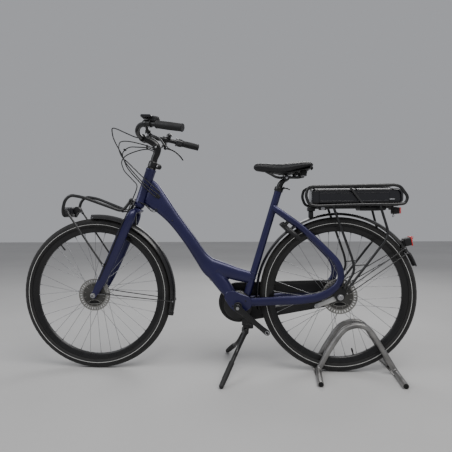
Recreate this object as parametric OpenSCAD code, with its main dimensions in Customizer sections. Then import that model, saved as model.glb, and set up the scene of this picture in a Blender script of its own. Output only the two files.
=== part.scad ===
// City bicycle with a rack battery and a mid drive, parked in a bent-tube floor stand.
// X runs along the bicycle with the front wheel at -X, Y across it, Z up from the floor.
// The origin is on the floor under the middle of the wheelbase.

/* [Wheels] */
// Outside diameter of both tyres
tyre_d = 710; // [706:1:712]
// Width of the tyre section
tyre_w = 47; // [44:1:47]
// Distance between the wheel axles
wheelbase = 1125; // [1122:1:1128]
// Number of spokes in each wheel
spoke_count = 36; // [36]

/* [Frame] */
// Head tube angle from the floor, in degrees
head_angle = 70.5; // [70.4:0.1:70.6]
// Outside diameter of the seat tube
seat_tube_d = 34; // [33:0.5:36]
// Outside diameter of the seatpost
post_d = 27.2; // [27.2]

/* [Cockpit] */
// Diameter of the handlebar tube
bar_d = 22; // [22]
// Outside diameter of the grips
grip_d = 33; // [30:0.5:34]

/* [Drive] */
// Teeth on the chainring
ring_teeth = 38; // [38]
// Teeth on the rear sprocket
sprocket_teeth = 19; // [19]
// Length of the crank arms, axle to pedal hole
crank_len = 170; // [165:1:172]

/* [Stand] */
// Diameter of the bent stand tube
stand_d = 25; // [22:1:25]

/* [Hidden] */
$fn = 48;
R = tyre_d / 2;
xf = -wheelbase / 2;
xr = wheelbase / 2;
FW = [xf, 0, R];
RW = [xr, 0, R];
BB = [107, 0, 305];
NAVY = [0.10, 0.11, 0.27];
BLK = [0.05, 0.05, 0.055];
DGR = [0.13, 0.13, 0.14];
SIL = [0.70, 0.71, 0.72];
STL = [0.45, 0.45, 0.46];
RED = [0.75, 0.05, 0.05];
hd = [cos(head_angle), 0, sin(head_angle)];
H0 = [-297, 0, 942];
function hp(z) = [H0[0] - (H0[2] - z) / tan(head_angle), 0, z];
grip_a = [-227, 200, 1104];
grip_b = [-106, 241, 1078];
chain_y = 50;

// ---------- helpers ----------
function unit(v) = v / norm(v);
function across(n, t) = unit(n - (n * t) * t);
function tangents(p) = [for (i = [0:len(p) - 1]) i == 0 ? unit(p[1] - p[0]) : i == len(p) - 1 ? unit(p[i] - p[i - 1]) : unit(unit(p[i + 1] - p[i]) + unit(p[i] - p[i - 1]))];
function carried(ts, n0) = [for (i = 0, n = across(n0, ts[0]); i < len(ts); i = i + 1, n = i < len(ts) ? across(n, ts[i]) : n) n];
function sgnpow(v, e) = sign(v) * pow(abs(v), e);
// corner rounding: each inner point is cut back by c and bent round in k steps
function bent(p, c, k = 4) = [for (i = [0:len(p) - 1]) each (i == 0 || i == len(p) - 1) ? [p[i]] :
  let (a = p[i - 1] - p[i], b = p[i + 1] - p[i], d = min(c, 0.48 * norm(a), 0.48 * norm(b)))
  [for (j = [0:k]) let (t = j / k) pow(1 - t, 2) * (p[i] + d * unit(a)) + 2 * t * (1 - t) * p[i] + pow(t, 2) * (p[i] + d * unit(b))]];
function mir(p) = [for (q = p) [q[0], -q[1], q[2]]];
function rev(p) = [for (i = [len(p) - 1:-1:0]) p[i]];

module skin(rings) {
  m = len(rings[0]);
  k = len(rings);
  polyhedron(points = [for (r = rings) each r],
    faces = concat([[for (j = [0:m - 1]) j]], [[for (j = [m - 1:-1:0]) (k - 1) * m + j]],
      [for (i = [0:k - 2]) for (j = [0:m - 1]) each [[i * m + j, (i + 1) * m + (j + 1) % m, i * m + (j + 1) % m], [i * m + j, (i + 1) * m + j, (i + 1) * m + (j + 1) % m]]]));
}
module ringskin(rings) {
  m = len(rings[0]);
  k = len(rings);
  polyhedron(points = [for (r = rings) each r],
    faces = [for (i = [0:k - 1]) for (j = [0:m - 1]) let (n = (i + 1) % k) each [[i * m + j, n * m + (j + 1) % m, i * m + (j + 1) % m], [i * m + j, n * m + j, n * m + (j + 1) % m]]]);
}
// round or oval tube along a path; a is the half size along the carried normal, b along the other side
module pipe(path, a, b = 0, n = 12, up = [0, 1, 0]) {
  ts = tangents(path);
  ns = carried(ts, up);
  bb = b == 0 ? a : b;
  skin([for (i = [0:len(path) - 1]) let (s = cross(ts[i], ns[i])) [for (j = [0:n - 1]) path[i] + a * cos(360 * j / n) * ns[i] + bb * sin(360 * j / n) * s]]);
}
// closed loop of round tube lying near a plane with normal nn
module looppipe(path, a, n = 12, nn = [0, 1, 0]) {
  k = len(path);
  ringskin([for (i = [0:k - 1]) let (t = unit(path[(i + 1) % k] - path[(i + k - 1) % k]), q = across(nn, t), s = cross(t, q)) [for (j = [0:n - 1]) path[i] + a * cos(360 * j / n) * q + a * sin(360 * j / n) * s]]);
}
// loft in the XZ plane: stations [x, z, half height, half width, lean of the height direction from +X, y]
module loft(st, n = 20, e = 0.75) {
  skin([for (s = st) [for (j = [0:n - 1]) let (h = s[2] * sgnpow(cos(360 * j / n), e), w = s[3] * sgnpow(sin(360 * j / n), e))
    [s[0] + h * cos(s[4]), (len(s) > 5 ? s[5] : 0) - w, s[1] + h * sin(s[4])]]]);
}
// straight round bar between two points
module bar(p, q, r) {
  d = q - p;
  translate(p) rotate([0, acos(d[2] / norm(d)), atan2(d[1], d[0])]) cylinder(r = r, h = norm(d));
}
module hole_bar(p, q, r) bar(p - 0.5 * unit(q - p), q + 0.5 * unit(q - p), r);
// chain of straight bars with round joints a little fatter than the bars
module rod(p, r) {
  for (i = [0:len(p) - 2]) bar(p[i], p[i + 1], r);
  if (len(p) > 2) for (i = [1:len(p) - 2]) translate(p[i]) sphere(r = r * 1.04);
}
module ypin(x, z, y0, y1, r) translate([x, y1, z]) rotate([90, 0, 0]) cylinder(r = r, h = y1 - y0);
module yplate(y0, y1) translate([0, y1, 0]) rotate([90, 0, 0]) linear_extrude(height = y1 - y0) children();
module both() { children(); mirror([0, 1, 0]) children(); }

// ---------- frame ----------
module head_tube() color(NAVY) difference() {
  bar(hp(768), hp(940), 23.5);
  hole_bar(hp(768), hp(940), 16.5);
}
module headset() color(BLK) for (z = [762, 942]) difference() {
  bar(z > 800 ? hp(932) : hp(761.5), z > 800 ? hp(946) : hp(776), z > 800 ? 20.5 : 20.5);
  hole_bar(hp(755), hp(950), 12.75);
}
dt_main = [[-313, 838, 58, 13, 70.5], [-298, 822, 59, 18, 59], [-275, 798, 51, 20.5, 48], [-240, 762, 41, 22, 41], [-188, 701, 31, 23.5, 37], [-123, 614, 29, 24, 35], [-70, 535, 31, 25, 38], [-30, 487, 41, 27, 48], [5, 458, 46, 28, 60]];
dt_upper = [[-25, 498, 30, 24, 45], [10, 478, 35, 25, 62], [55, 463, 33, 23, 68], [100, 448, 31, 20, 70], [142, 437, 29, 17, 72], [168, 430, 26, 15.5, 73]];
dt_lower = [[-30, 478, 20, 26, 20], [-2, 447, 33, 28, 8], [26, 412, 43, 31, -4], [49, 378, 45, 34, -12], [71, 345, 42, 35, -18], [93, 323, 33, 35, -22]];
module down_tube() color(NAVY) union() { loft(dt_main, 20); loft(dt_upper, 20); loft(dt_lower, 20); }
ST0 = [138.6, 0, 319];
ST1 = [298, 0, 843];
sd = unit(ST1 - ST0);
module seat_tube() color(NAVY) difference() {
  union() { bar(ST0, ST1, seat_tube_d / 2); bar(ST0 + 7 * sd - [0, 30, 0], ST0 + 7 * sd + [0, 30, 0], 22); }
  bar(ST0 + 190 * sd, ST1 + 5 * sd, post_d / 2 + 0.05);
}
stay_l = [[270, -25, 757], [300, -35, 735], [405, -45, 655], [517, -60, 546], [553, -66, 500], [564, -69, 455], [556, -70, 420], [528, -69, 388], [480, -66, 359], [408, -58, 342], [300, -46, 333], [165, -32, 322]];

module drop_shape() difference() {
  union() { translate([560, 356]) circle(r = 20); translate([540, 366]) circle(r = 21); translate([578, 392]) circle(r = 10); polygon([[541, 400], [572, 401], [587, 385], [580, 352], [545, 346]]); }
  translate([xr, R]) circle(r = 5.3);
}
module rear_stays() {
  color(NAVY) both() pipe(stay_l, 9.5, 16, 12);
  color(BLK) both() yplate(-71, -65) drop_shape();
}

// ---------- drive ----------
// cradle of the frame over the near face of the motor
cheek = [[26, 352], [33, 328], [48, 304], [68, 285], [92, 274], [114, 272], [134, 279], [144, 294], [144, 312], [131, 325], [114, 343], [100, 358], [60, 372], [34, 372]];
module motor_housing() color(BLK) difference() {
  union() { ypin(BB[0], BB[2], -38, 38, 64); ypin(BB[0], BB[2], 30, 40, 58); yplate(-43, -37) polygon(cheek); ypin(BB[0], BB[2], -47, -42, 19); }
  ypin(BB[0] - 30, BB[2] - 22, -30, 30, 22.6);
  ypin(BB[0] - 30, BB[2] - 22, -35, 35, 5.05);
  ypin(BB[0], BB[2], -50, 50, 9.05);
}
module motor_rotor() color(STL) { ypin(BB[0] - 30, BB[2] - 22, -29, 29, 21); ypin(BB[0] - 30, BB[2] - 22, -34.5, 34.5, 5); }
module crank_spindle() color(SIL) { ypin(BB[0], BB[2], -86, 86, 9); ypin(BB[0], BB[2], -89, -86, 7.5); ypin(BB[0], BB[2], 86, 89, 7.5); }
module arm2d(a) difference() {
  union() {
    circle(r = 17);
    rotate(a) translate([crank_len, 0]) circle(r = 13);
    rotate(a) polygon([[0, -15.5], [crank_len, -12], [crank_len, 12], [0, 15.5]]);
  }
  circle(r = 8.98);
  rotate(a) translate([crank_len, 0]) circle(r = 7.14);
}
module crank_arms() color(BLK) {
  yplate(-86, -72) translate([BB[0], BB[2]]) arm2d(-39.9);
  yplate(72, 86) translate([BB[0], BB[2]]) arm2d(140.1);
}
module teeth2d(n, rb, rt) { circle(r = rb, $fn = 96); for (i = [0:n - 1]) rotate(360 * i / n) polygon([[rb - 2, -3], [rt, -1.2], [rt, 1.2], [rb - 2, 3]]); }
ring_r = 12.7 / 2 / sin(180 / ring_teeth);
spr_r = 12.7 / 2 / sin(180 / sprocket_teeth);
module chainring() color(STL) difference() {
  union() { yplate(49, 51) translate([BB[0], BB[2]]) teeth2d(ring_teeth, ring_r - 5, ring_r + 1); ypin(BB[0], BB[2], 44.5, 52, 20); }
  ypin(BB[0], BB[2], 44, 53, 8.98);
}
module rear_sprocket() color(STL) difference() {
  union() { yplate(49, 51) translate([xr, R]) teeth2d(sprocket_teeth, spr_r - 5, spr_r + 1); ypin(xr, R, 40.5, 51, 19); }
  ypin(xr, R, 40, 52, 8.05);
}
// outline of a belt round two circles, from exact circles and a four-sided web
function web(r0, r1) = let (d = norm([xr - BB[0], R - BB[2]]), a = atan2(R - BB[2], xr - BB[0]), g = acos((r0 - r1) / d))
  [[BB[0] + r0 * cos(a + g), BB[2] + r0 * sin(a + g)], [BB[0] + r0 * cos(a - g), BB[2] + r0 * sin(a - g)], [xr + r1 * cos(a - g), R + r1 * sin(a - g)], [xr + r1 * cos(a + g), R + r1 * sin(a + g)]];
module belt2d(r0, r1) { translate([BB[0], BB[2]]) circle(r = r0, $fn = 72); translate([xr, R]) circle(r = r1, $fn = 72); polygon(web(r0, r1)); }
module chain() color(STL) yplate(46.5, 53.5) difference() { belt2d(ring_r + 6.5, spr_r + 6.5); belt2d(ring_r + 1.6, spr_r + 1.6); }
slot = [[228, 350], [470, 358], [478, 340], [470, 312], [300, 286], [236, 276], [224, 300]];
module chain_case() color(BLK) difference() {
  yplate(42, 58) difference() { union() { belt2d(94, 58); } polygon(slot); }
  yplate(43.5, 56.5) difference() { belt2d(92.5, 56.5); difference() { polygon([[214, 352.5], [474, 361], [482, 340], [474, 308], [300, 283], [222, 272], [208, 300]]); } }
  ypin(BB[0], BB[2], 40, 60, 26);
  ypin(xr, R, 40, 60, 28);
}

// ---------- kickstand ----------
KP = [141, -30, 186];
KF = [42, -220, 10.5];
KM = [104.9, -56, 110.9];
k_turn = 18;
module kp() translate(KP) rotate([0, 0, k_turn]) children();
module kickstand_bracket() color(BLK) {
  translate([124, -25, 216]) cube([46, 50, 34]);
  both() difference() {
    kp() { translate([0, 21, 0]) rotate([90, 0, 0]) cylinder(r = 11, h = 17); translate([-9, 4.5, 0]) cube([18, 15, 36]); }
    kp() translate([0, 22, 0]) rotate([90, 0, 0]) cylinder(r = 5.05, h = 19);
  }
}
module kick_leg() {
  kp() translate([0, 20, 0]) rotate([90, 0, 0]) cylinder(r = 5, h = 20);
  kp() translate([0, 3.7, 0]) rotate([90, 0, 0]) cylinder(r = 10.5, h = 15);
  hl = KP + [1.8, -5.4, 0];
  bar(hl, KM, 8.5);
  translate(KM) sphere(r = 9);
  bar(KM, KF, 8.5);
  bar(KM + 0.45 * (KF - KM), KF, 10.5);
  translate(KF) sphere(r = 10.5);
}
module kickstand_leg_left() color(BLK) kick_leg();
module kickstand_leg_right() color(BLK) mirror([0, 1, 0]) kick_leg();

// ---------- seat ----------
module seat_collar() color(BLK) difference() {
  union() {
    bar(ST1 - 14 * sd, ST1 + 5 * sd, 20.5);
    bar(ST1 - 5 * sd + [22, -13, 6], ST1 - 5 * sd + [22, 13, 6], 6);
    bar(ST1 - 5 * sd + [22, -12, 6], ST1 - 5 * sd + [46, -14, 2], 4);
  }
  bar(ST1 - 20 * sd, ST1 + 10 * sd, post_d / 2 + 0.05);
  bar(ST1 - 20 * sd, ST1 - 0.2 * sd, seat_tube_d / 2);
}
post_path = [ST1 + 22 * sd, [313, 0, 877], [327, 0, 886]];
module seatpost() color(BLK) {
  bar(ST0 + 310 * sd, ST1 + 22 * sd, post_d / 2);
  translate(ST1 + 22 * sd) sphere(r = post_d / 2 * 1.03);
  bar(ST1 + 22 * sd, [319, 0, 879], 12);
  translate([318, 0, 879]) sphere(r = 13.2);
  ypin(331, 889, -31, 31, 10);
}
rail_path = [[238, -12, 921], [256, -16, 912], [290, -24, 893], [360, -24, 893], [392, -34, 893], [416, -42, 899]];
module saddle_rails() color(STL) both() pipe(bent(rail_path, 14, 3), 3.5, 3.5, 8);
// saddle stations: [x, top, bottom, half width]
sad = [[184, 950, 934, 11], [191, 957, 929, 17], [205, 960, 926, 21], [240, 958, 921, 25], [278, 956, 912, 34], [312, 956, 907, 51], [345, 958, 908, 69], [380, 961, 914, 82], [412, 963, 920, 86], [434, 961, 926, 78], [445, 954, 932, 58]];
function sring(s, lo, n = 18) = [for (j = [0:n - 1]) let (c = cos(360 * j / n), q = sin(360 * j / n), zt = s[1], zb = s[2] + lo, zc = (zt + zb) / 2, hz = (zt - zb) / 2)
  [s[0], -s[3] * sgnpow(q, 0.8), zc + hz * sgnpow(c, 0.8)]];
module saddle_pad() color(BLK) skin([for (s = sad) sring(s, 6)]);
module saddle_base() color(DGR) skin([for (i = [2:len(sad) - 2]) let (s = sad[i], w = s[3] - 7) [for (j = [0:11]) [s[0], -w * sgnpow(sin(30 * j), 0.8), s[2] + 3 + 4.5 * sgnpow(cos(30 * j), 0.8)]]]);
module saddle_springs() color(DGR) both() { translate([404, -46, 900]) cylinder(r = 15, h = 19); translate([404, -46, 894]) cylinder(r = 11, h = 6); translate([372, -36, 900]) cylinder(r = 9, h = 12); }

// ---------- rack ----------
rk = [[437, -67, 846], [792, -67, 850], [820, -67, 843], [853, -67, 796], [841, -67, 768], [818, -67, 765], [655, -67, 765], [452, -67, 760], [425, -67, 768], [411, -67, 806], [420, -67, 838]];
function cutloop(p, c, k = 3) = [for (i = [0:len(p) - 1]) let (n = len(p), a = p[(i + n - 1) % n] - p[i], b = p[(i + 1) % n] - p[i], d = min(c, 0.48 * norm(a), 0.48 * norm(b)))
  each [for (j = [0:k]) let (t = j / k) pow(1 - t, 2) * (p[i] + d * unit(a)) + 2 * t * (1 - t) * p[i] + pow(t, 2) * (p[i] + d * unit(b))]];
module rack_frame() color(BLK) {
  both() { looppipe(cutloop(rk, 13), 6.5, 10); pipe([[601, -67, 846], [661, -67, 766]], 4.5, 4.5, 8); }
  for (x = [452, 640, 800]) pipe([[x, -67, x < 500 ? 846.3 : x > 700 ? 849.5 : 848.5], [x, 67, x < 500 ? 846.3 : x > 700 ? 849.5 : 848.5]], 4, 4, 8, [0, 0, 1]);
}
leg_a = [[529, -67, 764], [614, -77, 521], [621, -80, 472], [586, -81, 414], [581, -81, 402]];
leg_b = [[733, -67, 765], [766, -76, 647], [757, -79, 612], [604, -82, 410], [590, -82, 395]];
module rack_stays() color(BLK) both() {
  pipe(bent(leg_a, 22, 3), 5.5, 5.5, 10);
  pipe(bent(leg_b, 22, 3), 5.5, 5.5, 10);
  pipe([[617, -79, 497], [676, -80.5, 502]], 3, 3, 8);
  ypin(578, 396, -88, -68, 8);
}
module rack_tray() color(BLK) {
  difference() {
    translate([440, -60, 757]) cube([376, 120, 8.6]);
    translate([480, -20, 750]) cube([130, 40, 20]);
  }
  translate([655, -45, 739]) cube([114, 90, 18.5]);
  translate([428, -24, 737]) cube([32, 48, 20.5]);
  translate([432, -16, 706]) cube([22, 32, 32]);
  translate([470, -62, 741]) rotate([0, 0, 0]) cube([34, 20, 16.5]);
  ypin(487, 749, -66, -61.5, 7);
  translate([796, -20, 741]) cube([14, 40, 16.5]);
}
module batt2d(o) {
  translate([440 + o, 766 + o]) square([372 - 2 * o, 66 - 2 * o]);
  translate([811, 799]) circle(r = 33 - o);
}
module battery_case() color(BLK) difference() {
  yplate(-57, 57) batt2d(0);
  yplate(-54, 54) batt2d(3);
}
module battery_cells() color([0.2, 0.35, 0.3]) for (i = [0:9]) for (j = [0:2]) translate([460 + 36 * i, -36 + 36 * j, 770]) cylinder(r = 16, h = 56);
module fend2d(rin, w, t, cr) polygon(concat([for (k = [-6:6]) let (y = w * k / 6) [rin + t + cr * (1 - pow(k / 6, 2)), y]], [for (k = [6:-1:-6]) let (y = w * k / 6) [rin + cr * (1 - pow(k / 6, 2)), y]]));
module fend(c, a0, a1, rin, w, t, cr = 9) translate(c) rotate([90, 0, 0]) rotate([0, 0, a0]) rotate_extrude(angle = a1 - a0, $fn = 120) fend2d(rin, w, t, cr);
module rear_mudguard() color(BLK) {
  mudguard_rods();
  fend(RW, 30, 191, 364, 29, 2);
  fend(RW, 20.5, 31, 366.5, 25, 3);
}
module mudguard_rods() both() {
  pipe([[592, -75, 397], [609, -78, 408], [855, -31, 568]], 2.2, 2.2, 8);
  pipe([[594, -74, 372], [612, -77, 383], [866, -31, 547]], 2.2, 2.2, 8);
}
module rear_light() {
  color(DGR) translate([806, -18, 722]) cube([26, 36, 33]);
  color(RED) translate([832, -17, 724]) cube([12, 34, 29]);
}
module rear_reflector() {
  color(BLK) translate([853.3, -20, 573.9]) rotate([0, -12, 0]) cube([37, 40, 40]);
  color(RED) translate([890, -18, 571]) rotate([0, -12, 0]) cube([6, 36, 46]);
}

// ---------- ring lock ----------
LC = [366, 0, 630];
lu = [0.757, 0, -0.653];
module lockspace() translate(LC) rotate([0, 40.8, 0]) children();
// local frame: X runs from the tyre towards the hub, Z is the normal of the ring
module ring_lock() color(DGR) {
  lockspace() difference() {
    union() {
      rotate([0, 0, 52]) rotate_extrude(angle = 256) translate([53, -8]) square([15, 16]);
      translate([-78, -40, -9]) cube([28, 80, 18]);
      for (q = [-1, 1]) translate([-60, 36 * q, 0]) cylinder(r = 5, h = 30);
    }
    rotate([0, 0, 40]) rotate_extrude(angle = 275) translate([57.5, -3.6]) square([7, 7.2]);
    translate([0, 0, -20]) cylinder(r = 53, h = 40);
  }
}
module lock_shackle() color(SIL) lockspace() {
  rotate([0, 0, 56]) rotate_extrude(angle = 120) translate([58, -3.2]) square([6, 6.4]);
}

// ---------- rear wheel ----------
module axle(x, y0, y1, n0, n1, s1) {
  ypin(x, R, y0, y1, 5);
  ypin(x, R, -30.5, s1, 8);
  for (q = [n0, n1 - 8]) ypin(x, R, q, q + 8, 9);
}
module rear_axle() color(SIL) axle(xr, -86, 86, -80, 80, 64);
module front_axle() color(SIL) axle(xf, -74, 74, -74, 74, 40);
module hub(x, a, b, r, rf) difference() {
  union() { ypin(x, R, a, b, r); ypin(x, R, a, a + 3.5, rf); ypin(x, R, b - 3.5, b, rf); }
  ypin(x, R, a - 1, b + 1, 8.05);
}
module sleeve(x, y0, y1, r) difference() { ypin(x, R, y0, y1, r); ypin(x, R, y0 - 1, y1 + 1, 4.98); }
module rear_hub() color(SIL) hub(xr, -30, 32, 33, 45);
module front_hub() color(SIL) hub(xf, -30, 34, 20, 31);
module disc2d(r, k) difference() { circle(r = r, $fn = 72); for (i = [0:k - 1]) rotate(360 * i / k) translate([r - 7, 0]) circle(r = 2.6, $fn = 16); circle(r = 4.98); }
module brake(x, y0, r, arm) {
  yplate(y0 - 1, y0 + 1) translate([x, R]) disc2d(r, 24);
  sleeve(x, y0 + 0.5, -33.5, 42);
  sleeve(x, y0 - 9, y0 - 0.5, 18);
  difference() { yplate(y0 - 6, y0 - 1) translate([x, R]) rotate(arm) { translate([0, -11]) square([110, 22]); translate([110, 0]) circle(r = 11); } ypin(x, R, y0 - 7, y0, 12); }
}
module rear_brake() color(SIL) brake(xr, -51, 80, 203);
module front_brake() color(SIL) brake(xf, -43, 75, 66);
// spokes alternate between the flanges and cross each other
module spokes(c, ya, yb, rf, turn) for (i = [0:spoke_count - 1]) let (
    side = i % 2, pair = floor(i / 2), w = (pair % 2 == 0 ? 1 : -1) * 58, a = 360 * i / spoke_count + turn,
    y = (side == 0 ? ya : yb) + (pair % 2 == 0 ? 2.3 : -2.3), p = c + [rf * cos(a + w), y, rf * sin(a + w)], q = c + [291 * cos(a), side == 0 ? -2 : 2, 291 * sin(a)]) bar(p, q, 1);
module rear_spokes() color(SIL) spokes(RW, -28.25, 30.25, 41, 7.6);
module front_spokes() color(SIL) spokes(FW, -28.25, 32.25, 27.5, 2);
module rim(c) translate(c) rotate([90, 0, 0]) rotate_extrude($fn = 120) difference() {
  polygon([[289, -5], [289, 5], [294, 9], [309, 14.5], [317, 14.5], [317, 12], [309, 11.5], [306, 9], [306, -9], [309, -11.5], [317, -12], [317, -14.5], [309, -14.5], [294, -9]]);
  polygon([[292, -4], [292, 4], [296, 7], [304, 9.5], [304, -9.5], [296, -7]]);
}
module tyre(c) translate(c) rotate([90, 0, 0]) rotate_extrude($fn = 120) difference() {
  translate([R - tyre_w / 2, 0]) circle(r = tyre_w / 2, $fn = 40);
  translate([R - tyre_w / 2, 0]) circle(r = tyre_w / 2 - 3.5, $fn = 40);
  translate([290, -11.4]) square([26, 22.8]);
}
module rear_rim() color(BLK) rim(RW);
module front_rim() color(BLK) rim(FW);
module rear_tyre() color(DGR) tyre(RW);
module front_tyre() color(DGR) tyre(FW);

// ---------- fork and cockpit ----------
blade = [[-368, -20, 745], [-375, -40, 738], [-389, -54, 708], [-427, -59, 626], [-470, -60.5, 530], [-514, -61, 436], [-538, -61, 390], [-552, -61, 364]];
bl_w = [[10, 12], [12, 16], [12, 21.5], [10.5, 23.5], [9, 23], [7.5, 20.5], [6, 17.5], [4.5, 14]];
module blade_skin() {
  ts = tangents(blade);
  ns = carried(ts, [0, 1, 0]);
  skin([for (i = [0:len(blade) - 1]) let (s = cross(ts[i], ns[i])) [for (j = [0:15]) blade[i] + bl_w[i][0] * cos(22.5 * j) * ns[i] + bl_w[i][1] * sin(22.5 * j) * s]]);
}
module fork() color(NAVY) {
  bar(hp(742), hp(966), 12.7);
  both() blade_skin();
  both() yplate(-65, -57.5) difference() { union() { translate([xf, R]) circle(r = 15, $fn = 32); translate([-550, 370]) circle(r = 12, $fn = 24); } translate([xf, R]) circle(r = 5.2, $fn = 24); }
  skin([for (y = [-30, -24, 0, 24, 30]) [for (j = [0:15]) let (a = abs(y) > 26 ? 0.8 : 1) [-367 + 24 * a * cos(22.5 * j), y, 746 - 11 * a * sin(22.5 * j)]]]);
}
module stem() color(BLK) {
  difference() { bar(hp(948), hp(974), 20); bar(hp(940), hp(966.2), 12.72); }
  bar(hp(960) + [0, 0, 0], hp(960) + [33, 0, -11], 9);
  rod([hp(966), [-279, 0, 1000], [-270, 0, 1036], [-292, 0, 1066], [-327, 0, 1083]], 14.5);
  ypin(-333, 1084, -22, 22, 17);
}
hb = [[-333, 0, 1084], [-338, 60, 1086], [-334, 104, 1098], [-312, 146, 1113], [-272, 182, 1112], [-242, 195, 1107], [-110, 239.6, 1079]];
hbr = bent(hb, 22, 3);
module handlebar() color(BLK) pipe(concat(rev(mir(hbr)), [for (i = [1:len(hbr) - 1]) hbr[i]]), bar_d / 2, bar_d / 2, 12, [0, 0, 1]);
gd = unit(grip_b - grip_a);
module grip(t0) difference() {
  union() { bar(grip_a + t0 * gd, grip_b, grip_d / 2 - 1); translate([0, 0, 0]) bar(grip_b - 5 * gd, grip_b + 0 * gd, grip_d / 2 + 1); bar(grip_a + t0 * gd, grip_a + (t0 + 6) * gd, grip_d / 2 + 1); }
  bar(grip_a + (t0 - 5) * gd, grip_b - 3.4 * gd, bar_d / 2 - 0.5);
}
module grips() color(DGR) { mirror([0, 1, 0]) grip(4); grip(42); }
module gear_shifter() color(BLK) difference() {
  union() { bar(grip_a + 8 * gd, grip_a + 41 * gd, 19); bar(grip_a + 8 * gd, grip_a + 16 * gd, 21); }
  bar(grip_a + 2 * gd, grip_a + 45 * gd, bar_d / 2 + 0.4);
}
// brake lever parts, right-hand side; the pin stands across the lever plane
lev = [-262, 163, 1066];
ln = unit([64, -74, 0]);
lever_path = [lev, lev + [30, 22, -10], lev + [54, 44, -26], lev + [74, 64, -52]];
module perch() {
  difference() {
    union() { bar([-282, 176, 1113], [-258, 187, 1111], 15.5); bar([-270, 181, 1105], lev + [-5, 3, 16], 8); bar(lev - 9 * ln, lev - 5.3 * ln, 9); bar(lev + 5.3 * ln, lev + 9 * ln, 9); bar(lev + [-5, 3, 16] - 8 * ln, lev + [-5, 3, 16] + 8 * ln, 6); }
    bar([-306, 165, 1115], [-234, 198, 1109], 10.4);
    bar(lev - 5.2 * ln, lev + 5.2 * ln, 11);
  }
  bar(lev - 9 * ln, lev + 9 * ln, 2.5);
}
module brake_perches() color(BLK) {
  perch();
  mirror([0, 1, 0]) perch();
  translate([-247, 180, 1119.5]) cylinder(r = 8, h = 8);
  translate([-247, 180, 1119.5]) cylinder(r = 6, h = 14.5);
  bar([-262, 185, 1112], [-247, 180, 1122], 6);
}
module lever() difference() {
  union() { bar(lev - 5 * ln, lev + 5 * ln, 7); pipe(bent(concat([lev + 5.2 * unit(lever_path[1] - lev)], [for (i = [1:3]) lever_path[i]]), 14, 3), 4.2, 5.2, 10); }
  bar(lev - 6 * ln, lev + 6 * ln, 2.55);
}
module brake_lever_right() color(BLK) lever();
module brake_lever_left() color(BLK) mirror([0, 1, 0]) lever();
module display() color(BLK) {
  translate([-287, -222, 1131]) rotate([0, 2, 0]) cube([46, 66, 12]);
  difference() { bar([-262, -186.5, 1111.5], [-246, -193, 1108.8], 16.5); bar([-306, -168, 1115], [-215, -206, 1104], 10.4); }
  translate([-248, -206, 1112]) cube([36, 30, 27]);
}
BC = [-247, 180, 1128];
module bell() color(SIL) {
  translate(BC) difference() { scale([1, 1, 1]) sphere(r = 15); translate([-20, -20, -20]) cube([40, 40, 20]); translate([0, 0, -1]) cylinder(r = 6.1, h = 8); }
}
module front_mudguard() color(BLK) {
  translate([-378, -9, 674]) cube([6, 18, 66]);
  fend(FW, -14.5, 94, 355, 29, 2, 18);
  both() pipe([[-540, -55.2, 364], [-440, -46, 351], [-196, -29.5, 322]], 2.2, 2.2, 8);
}
// the front carrier is one closed tube: rails, bumper and rear hoop
fc = [[-420, -58, 742], [-593, -88, 808], [-650, -88, 818], [-676, -88, 796], [-688, -86, 752], [-692, -70, 724]];
fcr = [[-387, -50, 792], [-382, -30, 800]];
fc_all = concat(fc, rev(mir(fc)), rev(mir(fcr)), fcr);
module front_carrier() color(BLK) {
  looppipe(cutloop(fc_all, 20), 7, 10, [0.05, 0.1, 1]);
  both() { pipe([[-672, -84, 746], [-506, -80, 496]], 4.5, 4.5, 8); ypin(-506, 498, -86, -62, 7); pipe([[-672, -86, 745], [-666, -80, 738]], 6, 6, 8); }
  pipe([[-420, -58, 742], [-414, 0, 744], [-420, 58, 742]], 5, 5, 8, [0, 0, 1]);
  pipe([[-416, 0, 744], [-384, 0, 744]], 7, 7, 8);
}
module headlight() color(BLK) {
  translate([-718, -30, 727]) cube([52, 60, 38]);
  ypin(-655, 752, -16, 16, 15);
  translate([-668, -8, 716]) cube([8, 16, 22]);
}
cab_a = [[-318, -116, 1064], [-345, -106, 1072], [-393, -100, 1094], [-431, -90, 1112], [-452, -84, 1116], [-455, -79, 1100], [-450, -73, 1070], [-432, -64, 1029], [-415, -56, 993], [-390, -48, 950], [-338, -36, 888], [-290, -30, 838], [-262, -25.5, 812]];
cab_b = [[-292, 148, 1056], [-312, 112, 1058], [-338, 72, 1064], [-393, 45, 1076], [-425, 25, 1078], [-446, 12, 1073], [-451, 2, 1058], [-446, -14, 1031], [-424, -40, 994], [-396, -40, 955], [-338, -30, 893], [-290, -26, 848], [-256, -25.5, 818]];
cab_c = [[-262, 178, 1090], [-300, 120, 1050], [-326, 62, 1051], [-374, 30, 1050], [-402, 12, 1047], [-424, 0, 1031], [-428, -20, 1006], [-408, -32, 966], [-344, -32, 890], [-300, -30, 850], [-262, -25.5, 820]];
cab_d = [[-268, 176, 1084], [-304, 118, 1043], [-330, 62, 1044], [-372, 40, 1034], [-424, 24, 1010], [-442, 10, 980], [-434, 2, 950], [-418, -10, 926], [-380, -30, 890], [-355, -42, 858], [-372, -54, 800], [-394, -70, 735], [-420, -73, 680], [-458, -74, 590], [-500, -74, 494], [-530, -70, 430], [-540, -50, 408]];
module steering_cables() color(BLK) {
  pipe(bent(cab_a, 16, 1), 2.6, 2.6, 8);
  pipe(bent(cab_b, 16, 1), 2.6, 2.6, 8);
  pipe(bent(cab_c, 16, 1), 2.6, 2.6, 8);
  pipe(bent(cab_d, 16, 1), 2.6, 2.6, 8);
}

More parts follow.
